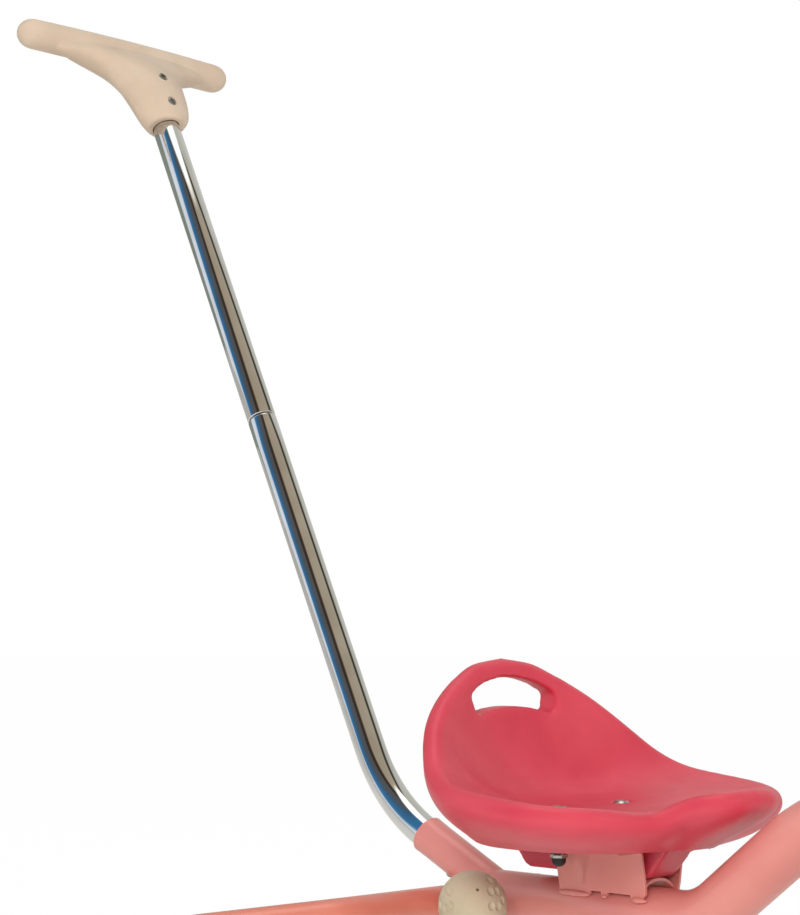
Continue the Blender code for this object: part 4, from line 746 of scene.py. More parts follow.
# crest half width, crest forward, crest height, base half width, base forward
SEAT_SIDE = [
    (0.0000, -0.1170, 0.4150, 0.0000, -0.0920),
    (0.0300, -0.1150, 0.4110, 0.0250, -0.0915),
    (0.0480, -0.1115, 0.4040, 0.0400, -0.0890),
    (0.0665, -0.1060, 0.3945, 0.0540, -0.0845),
    (0.0825, -0.0995, 0.3845, 0.0660, -0.0775),
    (0.0950, -0.0925, 0.3745, 0.0745, -0.0695),
    (0.1045, -0.0850, 0.3650, 0.0805, -0.0610),
    (0.1130, -0.0765, 0.3550, 0.0845, -0.0520),
    (0.1210, -0.0670, 0.3450, 0.0875, -0.0420),
    (0.1280, -0.0550, 0.3365, 0.0890, -0.0310),
    (0.1340, -0.0400, 0.3305, 0.0890, -0.0180),
    (0.1375, -0.0200, 0.3270, 0.0875, -0.0040),
    (0.1375, 0.0010, 0.3245, 0.0850, 0.0090),
    (0.1340, 0.0215, 0.3222, 0.0800, 0.0220),
    (0.1245, 0.0390, 0.3200, 0.0720, 0.0330),
    (0.1080, 0.0530, 0.3185, 0.0620, 0.0410),
    (0.0885, 0.0635, 0.3165, 0.0520, 0.0475),
    (0.0715, 0.0700, 0.3140, 0.0430, 0.0530),
    (0.0590, 0.0745, 0.3140, 0.0360, 0.0570),
    (0.0490, 0.0800, 0.3175, 0.0300, 0.0605),
    (0.0415, 0.0865, 0.3220, 0.0250, 0.0635),
    (0.0360, 0.0945, 0.3250, 0.0200, 0.0660),
    (0.0320, 0.1010, 0.3262, 0.0160, 0.0680),
    (0.0262, 0.1072, 0.3270, 0.0120, 0.0690),
    (0.0155, 0.1112, 0.3278, 0.0060, 0.0700),
    (0.0000, 0.1125, 0.3285, 0.0000, 0.0700),
]


def smooth_value(values, at):
    """A value between listed ones, on a smooth curve through them."""
    last = len(values) - 1
    i = min(int(at), last - 1)
    t = at - i
    before = values[i - 1] if i > 0 else values[i + 1]
    after = values[i + 2] if i + 2 <= last else values[i]
    if i == 0 and before == values[1]:
        before = 2 * values[0] - values[1]
    if i + 2 > last:
        after = 2 * values[last] - values[last - 1]
    here, there = values[i], values[i + 1]
    b = there - before
    c = 2 * before - 5 * here + 4 * there - after
    d = 3 * here - before - 3 * there + after
    return 0.5 * (2 * here + b * t + c * t * t + d * t * t * t)


def seat_row(share):
    """The crest's and the base's places at a share of the way from the back to the nose."""
    at = share * (len(SEAT_SIDE) - 1)
    width, forward, crest, base_width, base_forward = (
        smooth_value(column, at) for column in zip(*SEAT_SIDE))
    return Vector((forward, width)), crest, Vector((base_forward, base_width))


def seat_outward(share):
    """The direction that is square to the crest, seen from above."""
    if share <= 0.0 or share >= 1.0:
        return Vector((-1.0 if share <= 0.0 else 1.0, 0.0))
    step = min(0.02, share, 1 - share)
    run = seat_row(share + step)[0] - seat_row(share - step)[0]
    return Vector((-run.y, run.x)).normalized()


def seat_point(kind, amount, share, side):
    """A point on the skin: on the pan, round the rim, or down the side."""
    crest, top, base = seat_row(share)
    outward = seat_outward(share)
    centre = Vector((SEAT_FLOOR_F, 0.0))
    back = 0.5 + 0.5 * math.cos(math.pi * min(1.0, share * 2.2))
    steep = PAN_STEEP + BACK_STEEPER * back
    lean = math.atan(steep * (top - SEAT_FLOOR_Z) / (crest - centre).length)
    if kind == "pan":
        lip = crest - outward * RIM_OUT * math.sin(lean)
        lip_z = top - RIM_DROP * (1 - math.cos(lean))
        flat = centre.lerp(lip, amount)
        height = SEAT_FLOOR_Z + (lip_z - SEAT_FLOOR_Z) * amount ** steep
    elif kind == "rim":
        turn = -lean + (lean + math.pi / 2) * amount
        flat = crest + outward * RIM_OUT * math.sin(turn)
        height = top - RIM_DROP * (1 - math.cos(turn))
    else:
        nose = min(1.0, max(0.0, (share - NOSE_FROM) / NOSE_BLEND))
        start = crest + outward * RIM_OUT
        low = top - RIM_DROP
        drop = low - SEAT_BASE_Z
        middle = base.lerp(start, 0.45)
        heights = (low, low - (0.43 - 0.10 * nose) * drop,
                   SEAT_BASE_Z + (0.12 + 0.28 * nose) * drop, SEAT_BASE_Z)
        rest = 1 - amount
        weights = (rest ** 3, 3 * amount * rest ** 2, 3 * amount ** 2 * rest, amount ** 3)
        flat = start * (weights[0] + weights[1]) + middle * weights[2] + base * weights[3]
        height = sum(weight * z for weight, z in zip(weights, heights))
    return place(flat.x, side * flat.y, height)


# %% Seat skin
PAN_SHARES = (0.06, 0.14, 0.22, 0.31, 0.40, 0.49, 0.58, 0.66, 0.73, 0.79, 0.84, 0.88, 0.91, 0.94,
              0.96, 0.98, 1.0)
SEAT_STEPS = 75


def seat_skin(inset=0.0):
    """The skin as a bmesh. With an inset it is closed and lies inside the real surface."""
    rings = [("pan", share) for share in PAN_SHARES]
    rings += [("rim", i / 7) for i in range(1, 8)]
    rings += [("side", i / 12) for i in range(1, 13)]
    shares = [i / SEAT_STEPS for i in range(SEAT_STEPS + 1)]
    spots = [(share, -1) for share in shares] + [(share, 1) for share in shares[-2:0:-1]]
    work = bmesh.new()
    loop = bmesh.ops.create_circle(work, cap_ends=False, radius=1.0, segments=len(spots))["verts"]
    for number, (kind, amount) in enumerate(rings):
        loop = extrude_loop(work, loop) if number else loop
        for vert, (share, side) in zip(loop, spots):
            vert.co = seat_point(kind, amount, share, side)
        if not number:
            bmesh.ops.edgeloop_fill(work, edges=work.edges[:])
            centre = bmesh.ops.poke(work, faces=work.faces[:])["verts"][0]
            centre.co = place(SEAT_FLOOR_F, 0.0, SEAT_FLOOR_Z)
    if inset:
        bmesh.ops.edgeloop_fill(work, edges=[edge for edge in work.edges if edge.is_boundary])
    bmesh.ops.recalc_face_normals(work, faces=work.faces)
    if not inset and centre.normal.z < 0:
        bmesh.ops.reverse_faces(work, faces=work.faces)
    if inset:
        work.normal_update()
        for vert in work.verts:
            vert.co -= vert.normal * inset
    return work


seat = finish_piece("seat_skin", seat_skin(), seat_plastic, "frame", ["seat"], recalculate=False)
thicken(seat, SEAT_WALL)
apply_modifiers(seat)
print("seat shell", len(seat.data.polygons), "faces")

# %% Seat keel, bosses and handle slot
SEAT_BACK_F = SEAT_SIDE[0][1]
SLOT_HALF, SLOT_LOW_Z, SLOT_HIGH_Z, SLOT_ARCH, SLOT_WALL = 0.0465, 0.3790, 0.4005, 0.006, 0.0036
SEAT_BOLT_F, SEAT_BOLT_Y, BOLT_SEAT_Z = -0.029, 0.035, SEAT_FLOOR_Z - 0.0015
BOLT_HEAD_D, BOLT_HEAD_T, SEAT_BOLT_D, BOLT_HEAD_PLAY, BOSS_D = 0.014, 0.003, 0.006, 0.002, 0.020
OVER_PAN_Z = 0.400       # a height over the pan, where cutters may end
SIDE_VIEW = along(place(0, 0, 0), -LEFT, FORWARD)
FRONT_VIEW = along(place(SEAT_BACK_F, 0, 0), FORWARD, LEFT)


def slot_outline(grow):
    """The handle slot seen from in front: ends rounded, lower and upper edges arched."""
    high, low, half = SLOT_HIGH_Z + grow, SLOT_LOW_Z - grow, SLOT_HALF + grow
    corner = (high + low) / 2 - SLOT_ARCH + 0.004
    foot = low - SLOT_ARCH + 0.005
    points = [(half * 0.72 * (1 - i / 4), high - SLOT_ARCH * (1 - i / 4) ** 2) for i in range(9)]
    points += [(-half, corner), (-half * 0.97, foot)]
    points += [(half * 0.86 * (i / 4 - 1), low - SLOT_ARCH * (i / 4 - 1) ** 2) for i in range(9)]
    return points + [(half * 0.97, foot), (half, corner)]


keel_top = SEAT_FLOOR_Z - SEAT_WALL * 0.4
front = BRACKET_FRONT_F
keel_outline = [
    (-0.060, keel_top), (-0.083, SEAT_BASE_Z + 0.010), (-0.088, KEEL_Z + 0.013),
    (-0.079, KEEL_Z + 0.002), (-0.075, KEEL_Z), (front - 0.003, KEEL_Z),
    (front + 0.001, KEEL_Z + 0.003), (front + 0.016, SEAT_BASE_Z),
    (front + 0.016, SEAT_BASE_Z + 0.010), (front - 0.005, keel_top),
]
combine(seat, prism(keel_outline, 2 * KEEL_HALF, SIDE_VIEW), "UNION")
inside_skin = helper_object("inside_skin", seat_skin(SEAT_WALL / 2))
added = [prism(slot_outline(SLOT_WALL), 0.080, FRONT_VIEW)]
for side in (1, -1):
    foot = place(SEAT_BOLT_F, side * SEAT_BOLT_Y, SEAT_BASE_Z + SEAT_WALL / 2)
    added.append(bar(foot, foot + UP * 0.08, BOSS_D))
for work in added:
    part = helper_object("part", work)
    limit = part.modifiers.new("Limit", "BOOLEAN")
    limit.operation, limit.solver, limit.object = "INTERSECT", "EXACT", inside_skin
    apply_modifiers(part)
    work = bmesh.new()
    work.from_mesh(part.data)
    bpy.data.objects.remove(part, do_unlink=True)
    combine(seat, work, "UNION")
bpy.data.objects.remove(inside_skin, do_unlink=True)
combine(seat, prism(slot_outline(0.0), 0.120, FRONT_VIEW))
for side in (1, -1):
    hole = place(SEAT_BOLT_F, side * SEAT_BOLT_Y, 0.0)
    over_pan = hole + UP * OVER_PAN_Z
    combine(seat, bar(hole + UP * BOLT_SEAT_Z, over_pan, BOLT_HEAD_D + BOLT_HEAD_PLAY))
    combine(seat, bar(hole + UP * KEEL_Z, over_pan, SEAT_BOLT_D + 2 * GAP))
soften(seat, voxel=0.0017, rounds=7)

# %% [markdown]
# The handle slot is where fingers go, so its edges are rounded far more than the rest. Vertices
# near the slot's outline get many more rounds of smoothing than any others.

# %% Round the slot's edges
slot_group = seat.vertex_groups.new(name="slot")
SLOT_HALF_HIGH, ROUNDED_WITHIN, PLAIN_BEYOND = 0.013, 0.004, 0.012
slot_middle = place(SEAT_BACK_F + 0.004, 0.0, (SLOT_LOW_Z + SLOT_HIGH_Z) / 2 - 0.003)
for vert in seat.data.vertices:
    off = vert.co - slot_middle
    far = math.hypot(max(0.0, abs(off.y) - SLOT_HALF), max(0.0, abs(off.z) - SLOT_HALF_HIGH))
    weight = 1 - smoothstep(ROUNDED_WITHIN, PLAIN_BEYOND, far)
    if weight > 0 and off.x < 0.03:
        slot_group.add([vert.index], weight, "REPLACE")
rounding = seat.modifiers.new("Rounding", "SMOOTH")
rounding.factor = 0.5
rounding.iterations = 14
rounding.vertex_group = "slot"
apply_modifiers(seat)

# %% [markdown]
# ## Seat bracket
#
# Two folded steel plates with flanges turned out carry the seat. A saddle of the same sheet ties
# them together over the main tube, and short welds hold their feet, with gaps that show as dark
# slots. Where the flange turns, a small triangular dent stiffens the bend.

# %% Seat bracket
PLATE_T, BRACKET_REAR_F = 0.0022, -0.043
FLANGE_HALF, BRACKET_TOP_HALF, BRACKET_FOOT_HALF = 0.049, 0.0225, 0.0185
FOLD_R, SADDLE_LIFT, SADDLE_INSET = 0.0034, 0.0045, 0.004
DENT_F, DENT_LOW_Z, DENT_RISE, DENT_TOP_Z = -0.020, 0.259, 0.016, 0.2795
DENT_HALF, DENT_DEPTH = 0.0075, 0.0016
FOOT_Z = TUBE_Z + math.sqrt((TUBE_D / 2 + GAP) ** 2 - (BRACKET_FOOT_HALF - PLATE_T) ** 2)
WELD_GAPS = ((-0.0146, -0.0033), (0.0013, 0.0233))
WELD_GAP_UP, WELD_GAP_SLANT, WELD_R, WELD_STEP = 0.0032, 0.0008, 0.0021, 0.0016
bracket_length = BRACKET_FRONT_F - BRACKET_REAR_F
sheet_top = FLANGE_TOP_Z - PLATE_T / 2
plate_section = [(FLANGE_HALF, sheet_top), (BRACKET_TOP_HALF + FOLD_R, sheet_top)]
for i in range(1, 6):
    turn = math.radians(90 * i / 5)
    plate_section.append((BRACKET_TOP_HALF + FOLD_R * (1 - math.sin(turn)),
                          sheet_top - FOLD_R * (1 - math.cos(turn))))
foot_middle = BRACKET_FOOT_HALF - PLATE_T / 2
for i in range(1, 11):
    share = i / 10
    plate_section.append((BRACKET_TOP_HALF + (foot_middle - BRACKET_TOP_HALF) * share,
                          sheet_top - FOLD_R + (FOOT_Z + 0.0004 - sheet_top + FOLD_R) * share))


PLATE_STATIONS = 40


def bracket_plate(work, side):
    verts = [work.verts.new(place(BRACKET_REAR_F, side * y, z)) for y, z in plate_section]
    edges = [work.edges.new(pair) for pair in zip(verts, verts[1:])]
    for _ in range(PLATE_STATIONS):
        made = bmesh.ops.extrude_edge_only(work, edges=edges)["geom"]
        edges = [item for item in made if isinstance(item, bmesh.types.BMEdge)]
        moved = [item for item in made if isinstance(item, bmesh.types.BMVert)]
        bmesh.ops.translate(work, vec=(bracket_length / PLATE_STATIONS, 0, 0), verts=moved)


work = bmesh.new()
for side in (1, -1):
    bracket_plate(work, side)
saddle_radius = TUBE_D / 2 + SADDLE_LIFT + PLATE_T / 2
reach = math.degrees(math.asin(foot_middle / saddle_radius))
saddle = []
for i in range(21):
    turn = math.radians(90 - reach + 2 * reach * i / 20)
    saddle.append(work.verts.new(place(BRACKET_REAR_F + SADDLE_INSET,
                                       saddle_radius * math.cos(turn),
                                       TUBE_Z + saddle_radius * math.sin(turn))))
edges = [work.edges.new(pair) for pair in zip(saddle, saddle[1:])]
made = bmesh.ops.extrude_edge_only(work, edges=edges)["geom"]
moved = [item for item in made if isinstance(item, bmesh.types.BMVert)]
bmesh.ops.translate(work, vec=(bracket_length - 2 * SADDLE_INSET, 0, 0), verts=moved)
for vert in work.verts:
    forward, height = vert.co.x - MIDDLE, vert.co.z
    # the triangular dent in the fold, widest at the top
    up_share = min(1.0, max(0.0, (height - DENT_LOW_Z) / DENT_RISE))
    dent = 1 - smoothstep(0.4, 1.0, abs(forward - DENT_F) / (0.001 + DENT_HALF * up_share))
    if DENT_LOW_Z < height < DENT_TOP_Z and abs(vert.co.y) > 0.012:
        vert.co.y -= math.copysign(DENT_DEPTH * dent, vert.co.y)
bracket = finish_piece("seat_bracket_skin", work, pink_coat, "frame", ["seat_bracket"],
                       doubles=0, recalculate=False)
thicken(bracket, PLATE_T, offset=0.0, even=False)
break_edges(bracket, width=0.0005, degrees=50)
apply_modifiers(bracket)
for start, end in WELD_GAPS:
    gap_outline = [(start, FOOT_Z - 0.004), (end, FOOT_Z - 0.004),
                   (end - WELD_GAP_SLANT, FOOT_Z + WELD_GAP_UP),
                   (start + WELD_GAP_SLANT, FOOT_Z + WELD_GAP_UP)]
    for side in (1, -1):
        at = along(place(0, side * BRACKET_FOOT_HALF, 0), -LEFT, FORWARD)
        combine(bracket, prism(gap_outline, 0.010, at))
for side in (1, -1):
    at = place(SEAT_BOLT_F, side * SEAT_BOLT_Y, FLANGE_TOP_Z)
    combine(bracket, bar(at - UP * 0.005, at + UP * 0.005, SEAT_BOLT_D + 2 * GAP))
# the plates' front lower corner is cut off at a slant
corner = [(0.024, 0.200), (0.060, 0.200), (0.060, 0.262), (BRACKET_FRONT_F + 0.0002, 0.262),
          (BRACKET_FRONT_F - 0.0008, FOOT_Z + 0.0045), (BRACKET_FRONT_F - 0.0045, FOOT_Z)]
combine(bracket, prism(corner, 0.060, SIDE_VIEW))

# %% [markdown]
# ## The main tube's cut end
#
# Over the rear arch the main tube's upper part is cut off at a slant, which the photograph
# shows behind the bracket.

# %% The main tube's cut end
TAIL_RUN, TAIL_RISE = 0.018, 0.0335
tail_top, arch_front = TUBE_Z + TUBE_D, ARCH_F + ARCH_D / 2
tail = [(ARCH_F - TUBE_D, ARCH_Z), (arch_front, ARCH_Z),
        (arch_front + TAIL_RUN, ARCH_Z + TAIL_RISE), (arch_front + TAIL_RUN, tail_top),
        (ARCH_F - TUBE_D, tail_top)]
combine(main_tube, prism(tail, 2 * TUBE_D, SIDE_VIEW))

# %% [markdown]
# ## Welds of the bracket
#
# Each foot is held by three short beads, between which the gaps stay open. A bead is a thin
# sweep along the foot whose radius follows a noise.

# %% Welds of the bracket
work = bmesh.new()
run_ends = [BRACKET_REAR_F, *WELD_GAPS[0], *WELD_GAPS[1], BRACKET_FRONT_F]
for side in (1, -1):
    for number, (start, end) in enumerate(zip(run_ends[::2], run_ends[1::2])):
        count = max(4, round((end - start) / WELD_STEP))
        line = [place(start + (end - start) * i / count, side * (BRACKET_FOOT_HALF + 0.0003),
                      FOOT_Z + 0.0002) for i in range(count + 1)]
        weld_bead(work, line, WELD_R, number + side)
finish_piece("bracket_welds", work, pink_coat, "frame", recalculate=True)

# %% [markdown]
# ## Seat bolts and nuts
#
# Two bolts clamp the seat to the flanges. From the side only the nuts show: a black cap with a
# dome over the thread, and a zinc hexagon round its collar.

# %% Seat bolts and nuts
NUT_ACROSS, NUT_T, DOME_T = 0.011, 0.008, 0.005
CAP_R, COLLAR_R, NUT_R = NUT_ACROSS * 0.62 * 0.9, NUT_ACROSS * 0.48, NUT_ACROSS * 0.60
KEY_R, KEY_DEPTH = 0.0032, 0.0014     # the key's socket in the bolt's head
nut_top = FLANGE_TOP_Z - PLATE_T - GAP
for side, name in SIDES:
    x, y = SEAT_BOLT_F, side * SEAT_BOLT_Y
    end = nut_top - NUT_T - 0.001
    length = BOLT_SEAT_Z + GAP + BOLT_HEAD_T - end
    head = length - BOLT_HEAD_T
    bolt_profile = [
        (0.0, length - KEY_DEPTH), (KEY_R, length - KEY_DEPTH), (KEY_R, length - 0.0002),
        (BOLT_HEAD_D * 0.33, length), (BOLT_HEAD_D / 2, head + 0.0008), (BOLT_HEAD_D / 2, head),
        (SEAT_BOLT_D / 2, head), (SEAT_BOLT_D / 2, 0.0), (0.0, 0.0),
    ]
    turned(f"{name}_seat_bolt_skin", rounded_profile(bolt_profile, 0.0006),
           along(place(x, y, end), UP), zinc, "frame", [f"{name}_seat_bolt"], steps=36)
    dome = [(COLLAR_R * math.cos(math.radians(a)), -NUT_T - DOME_T * math.sin(math.radians(a)))
            for a in range(0, 100, 10)]
    cap_profile = [(0.0, 0.0), (CAP_R, 0.0), (CAP_R, -NUT_T * 0.50), (COLLAR_R, -NUT_T * 0.56)]
    turned(f"{name}_seat_nut_cap", rounded_profile(cap_profile + dome, 0.0003),
           along(place(x, y, nut_top), UP), black_nylon, "frame", [f"{name}_seat_nut"], steps=40)
    work = bmesh.new()
    bmesh.ops.create_cone(work, cap_ends=True, segments=6, radius1=NUT_R, radius2=NUT_R,
                          depth=0.0034)
    round_edges(work, 0.0005, 2)
    bmesh.ops.translate(work, vec=place(x, y, nut_top - NUT_T * 0.62), verts=work.verts)
    finish_piece(f"{name}_seat_nut_ring", work, zinc, "frame")
print("bolts and nuts", len(pieces), "pieces so far")

# %% [markdown]
# ## T grip
#
# The grip is one thick moulding: a round bar whose middle flows down into a neck round the chrome
# tube. The bar and the neck are lofted apart, then given one skin, whose smoothing makes the wide
# fillets under the arms. Two countersunk screws hold it.

# %% T grip
GRIP_RISE, GRIP_SET_BACK, GRIP_HALF, GRIP_SWEEP, GRIP_BAR_R = 0.101, 0.0196, 0.121, 0.003, 0.0146
GRIP_INSERT, GRIP_SCREW_UP, GRIP_SCREW_STEP, GRIP_PLAY = 0.050, 0.033, 0.030, 0.0006
# rows of the neck: share of the way up, half width, reach in front of and behind the tube's axis
GRIP_NECK = [
    (0.00, 0.0185, 0.0165, 0.0155), (0.04, 0.0225, 0.0178, 0.0162), (0.10, 0.0268, 0.0188, 0.0168),
    (0.22, 0.0303, 0.0192, 0.0182), (0.36, 0.0328, 0.0189, 0.0212), (0.48, 0.0345, 0.0177, 0.0245),
    (0.56, 0.0365, 0.0155, 0.0275), (0.63, 0.0405, 0.0125, 0.0295), (0.70, 0.0490, 0.0092, 0.0312),
    (0.77, 0.0650, 0.0055, 0.0325), (0.85, 0.0850, 0.0010, 0.0330), (0.96, 0.0880, -0.0070, 0.0315),
]
grip_rim = HANDLE_TOP - HANDLE_UP * GRIP_INSERT
bar_middle = grip_rim + HANDLE_UP * GRIP_RISE + HANDLE_BACK * GRIP_SET_BACK
points, radii = [], []
for i in range(41):
    share = math.sin(math.radians(180 * i / 40 - 90))
    past = max(0.0, abs(share) * GRIP_HALF - GRIP_HALF + GRIP_BAR_R) / GRIP_BAR_R
    points.append(bar_middle + Vector((-GRIP_SWEEP * share * share, share * GRIP_HALF, 0.0)))
    bulge = 0.93 + 0.07 * (1 - share * share)
    radii.append(GRIP_BAR_R * bulge * max(0.2, math.sqrt(1 - past ** 2)))
work = bmesh.new()
sweep(work, points, radii, 40)
grip = finish_piece("push_grip_skin", work, grip_cream, "frame", ["push_grip"])
work = bmesh.new()
loop = bmesh.ops.create_circle(work, cap_ends=False, radius=1.0, segments=56)["verts"]
unit = [vert.co.copy() for vert in loop]
stations = 34
for number in range(stations):
    at = number * (len(GRIP_NECK) - 1) / (stations - 1)
    share, wide, front, back = (smooth_value(column, at) for column in zip(*GRIP_NECK))
    centre = grip_rim + HANDLE_UP * share * GRIP_RISE - HANDLE_BACK * (front - back) / 2
    oval = along(centre, HANDLE_UP) @ Matrix.Diagonal((wide, (front + back) / 2, 1.0, 1.0))
    loop = extrude_loop(work, loop) if number else loop
    for vert, spot in zip(loop, unit):
        vert.co = oval @ spot
bmesh.ops.holes_fill(work, edges=[edge for edge in work.edges if edge.is_boundary])
bmesh.ops.recalc_face_normals(work, faces=work.faces)
combine(grip, work, "UNION")
soften(grip, voxel=0.0013, rounds=14)
bore_end = HANDLE_TOP + HANDLE_UP * GAP
combine(grip, bar(grip_rim - HANDLE_UP * 0.02, bore_end, HANDLE_D + GRIP_PLAY, 64))

# %% Grip screws
SCREW_HEAD_D, SCREW_HEAD_T, SCREW_SINK, SCREW_PLAY = 0.0088, 0.0016, 0.0009, 0.0010
SLOT_LENGTH, SLOT_WIDTH = 0.0054, 0.0012
rim_r, edge_r = SCREW_HEAD_D / 2, SCREW_HEAD_D / 2 - 0.0009
screw_profile = [(0.0, 0.0002), (edge_r, 0.0003), (rim_r, -0.0004), (edge_r, -SCREW_HEAD_T),
                 (0.0, -SCREW_HEAD_T)]
screw_slot = [(x * SLOT_LENGTH / 2, y * SLOT_WIDTH / 2)
              for x, y in ((-1, -1), (1, -1), (1, 1), (-1, 1))]
for number, step in enumerate((0.5, -0.5), 1):
    at = grip_rim + HANDLE_UP * (GRIP_SCREW_UP + step * GRIP_SCREW_STEP)
    surface = grip.ray_cast(at - HANDLE_BACK * 0.05, HANDLE_BACK)[1]
    sink = surface + HANDLE_BACK * SCREW_SINK
    combine(grip, bar(sink, surface - HANDLE_BACK * 0.01, SCREW_HEAD_D + SCREW_PLAY))
    head = turned(f"grip_screw_{number}_head", rounded_profile(screw_profile, 0.0003),
                  along(sink - HANDLE_BACK * 0.0008, -HANDLE_BACK), zinc, "frame",
                  [f"grip_screw_{number}"], steps=32)
    for turn in (20, 110):
        slot_at = along(sink - HANDLE_BACK * 0.0014, -HANDLE_BACK)
        slot_at = slot_at @ Matrix.Rotation(math.radians(turn), 4, "Z")
        combine(head, prism(screw_slot, 0.0022, slot_at))
print("grip faces", len(grip.data.polygons))

# %% [markdown]
# ## Brake ball and lever
#
# The parking brake is worked by a ball the size of a golf ball, moulded with dimples in rows on
# both sides of a smooth band. Each row is a circle round the band's axis, so a vertex only has to
# look for the nearest dimple in the nearest row, and is pressed in by a round bowl there.

# %% Brake places
BRAKE_F = ARCH_F
CLIP_T, BRAKE_ROD_D, LEVER_D, KNOB_D, BRAKE_BEND_R = 0.0025, 0.010, 0.008, 0.050, 0.014
BRAKE_Z = ARCH_Z - ARCH_D / 2 - CLIP_T - BRAKE_ROD_D / 2 - RUNNING
LEVER_Y, LEVER_SINK = -0.057, 0.016     # how deep the lever's tip sits in the ball
KNOB = place(-0.093, LEVER_Y, 0.237)
hinge = place(BRAKE_F, LEVER_Y, BRAKE_Z)
lever_low = Vector((KNOB.x - 0.006, KNOB.y, BRAKE_Z + 0.001))
LEVER_UP = (KNOB - lever_low).normalized()

# %% Dimpled ball
BAND_AXIS = Vector((0.70, 0.62, 0.10)).normalized()
DIMPLE_ROWS = ((26, 6), (40, 9), (54, 12))     # degrees from the axis, dimples in the row
DIMPLE_LONG, DIMPLE_WIDE, DIMPLE_DEPTH = 6.2, 7.4, 0.0020     # half sizes in degrees, depth
FAR_HALF_TURN, ROW_TURN = 9, 1.7     # how the rows are turned against each other


def dimple_press(direction, frame_matrix):
    """How far the ball's surface is pressed in, in a direction from its centre."""
    local = frame_matrix @ direction
    polar = math.degrees(math.acos(max(-1.0, min(1.0, abs(local.z)))))
    round_turn = math.degrees(math.atan2(local.y, local.x))
    if local.z < 0:
        round_turn += FAR_HALF_TURN
    press = 0.0
    for row, count in DIMPLE_ROWS:
        if abs(polar - row) > DIMPLE_LONG:
            continue
        step = 360 / count
        near = round((round_turn + row * ROW_TURN) / step) * step - row * ROW_TURN
        across = (round_turn - near) * math.sin(math.radians(polar))
        reach = ((polar - row) / DIMPLE_LONG) ** 2 + (across / DIMPLE_WIDE) ** 2
        if reach < 1:
            press = max(press, DIMPLE_DEPTH * (1 - reach) ** 0.6)
    return press


work = bmesh.new()
bmesh.ops.create_icosphere(work, subdivisions=7, radius=KNOB_D / 2)
to_local = along((0, 0, 0), BAND_AXIS, UP).to_3x3().inverted()
for vert in work.verts:
    direction = vert.co.normalized()
    vert.co = KNOB + direction * (KNOB_D / 2 - dimple_press(direction, to_local))
ball = finish_piece("brake_ball", work, ball_cream, "parking_brake", ["brake_knob"], sharp=60)
# the moulding's small hole
hole_way = Vector((0.675, -0.494, 0.548)).normalized()
combine(ball, bar(KNOB + hole_way * 0.020, KNOB + hole_way * 0.030, 0.0024, 24))
lever_tip = KNOB - LEVER_UP * (KNOB_D / 2 - LEVER_SINK)
lever_path = bent_path([hinge + Vector((0.004, 0, 0)), lever_low, lever_tip], [BRAKE_BEND_R], 5)
solid_rod("brake_lever_rod", evenly(lever_path, 0.01), LEVER_D, zinc, "parking_brake",
          ["brake_lever"], 28)

# %% [markdown]
# ## Brake rod, clips and boots
#
# A bent zinc rod runs behind the arch from wheel to wheel. When the ball is pushed forward, the
# rubber boots on its ends swing up against the tyres. Each boot has a few ribs, which keep it on.

# %% Brake rod and boots
REAR_WHEEL_D, REAR_TYRE_H, REAR_TYRE_W = 0.210, 0.021, 0.034
REAR_HUB_D, REAR_HUB_LENGTH, REAR_AXLE_D, WASHER_T = 0.038, 0.044, 0.012, 0.0015
BUSH_LIP = 0.0015
REAR_HUB_IN = LEG_Y + ARCH_D / 2 + WASHER_T + 2 * GAP + BUSH_LIP + GAP
REAR_WHEEL_Y = REAR_HUB_IN + REAR_HUB_LENGTH / 2
REAR_HUB_OUT = REAR_WHEEL_Y + REAR_HUB_LENGTH / 2
BRAKE_ARM, ARM_REST, BOOT_D, BOOT_LENGTH, BOOT_END_T = 0.0339, 27.0, 0.018, 0.018, 0.004
arm_on = math.degrees(math.atan2(REAR_AXLE_Z - BRAKE_Z, REAR_AXLE_F - BRAKE_F))
ARM = in_side_view(arm_on + ARM_REST)
rod_corners = []
for side in (-1, 1):
    corner = place(BRAKE_F, side * REAR_WHEEL_Y, BRAKE_Z)
    tip = corner + ARM * (BRAKE_ARM - BOOT_END_T - GAP)
    rod_corners += [tip, corner] if side < 0 else [corner, tip]
rod_path = evenly(bent_path(rod_corners, [BRAKE_BEND_R] * 2, 6), 0.03)
solid_rod("brake_rod_bent", rod_path, BRAKE_ROD_D, zinc, "parking_brake", ["brake_rod"], 28)
BOOT_RIBS, BOOT_RIB_STEP, BOOT_R, BOOT_GROOVE_R = 3, 0.0052, BOOT_D / 2, BOOT_D / 2 - 0.0014
boot_profile = [(0.0, BOOT_LENGTH), (BOOT_R - 0.0012, BOOT_LENGTH)]
for rib in range(BOOT_RIBS):
    high = BOOT_LENGTH - 0.0012 - rib * BOOT_RIB_STEP
    boot_profile += [(BOOT_R, high - 0.0008), (BOOT_R, high - 0.0030),
                     (BOOT_GROOVE_R, high - 0.0036), (BOOT_GROOVE_R, high - 0.0046)]
boot_profile += [(BOOT_GROOVE_R, 0.0005), (BRAKE_ROD_D / 2 + 0.0006, 0.0),
                 (BRAKE_ROD_D / 2 - 0.0004, 0.0006)]
for side, name in SIDES:
    corner = place(BRAKE_F, side * REAR_WHEEL_Y, BRAKE_Z)
    turned(f"{name}_brake_boot_ribbed", rounded_profile(boot_profile, 0.0005),
           along(corner + ARM * (BRAKE_ARM - BOOT_LENGTH), ARM), boot_rubber, "parking_brake",
           [f"{name}_brake_boot"], steps=40)

# %% [markdown]
# ## Tyres and wheels
#
# A tyre is a half outline that is spun about the axle. Some of its crown faces are then pushed
# in to leave tread blocks. A wheel is spun too, with its rim, web and hub in one outline, and
# five windows are cut through the web, which leaves the spokes. A bevel rounds every cut edge.

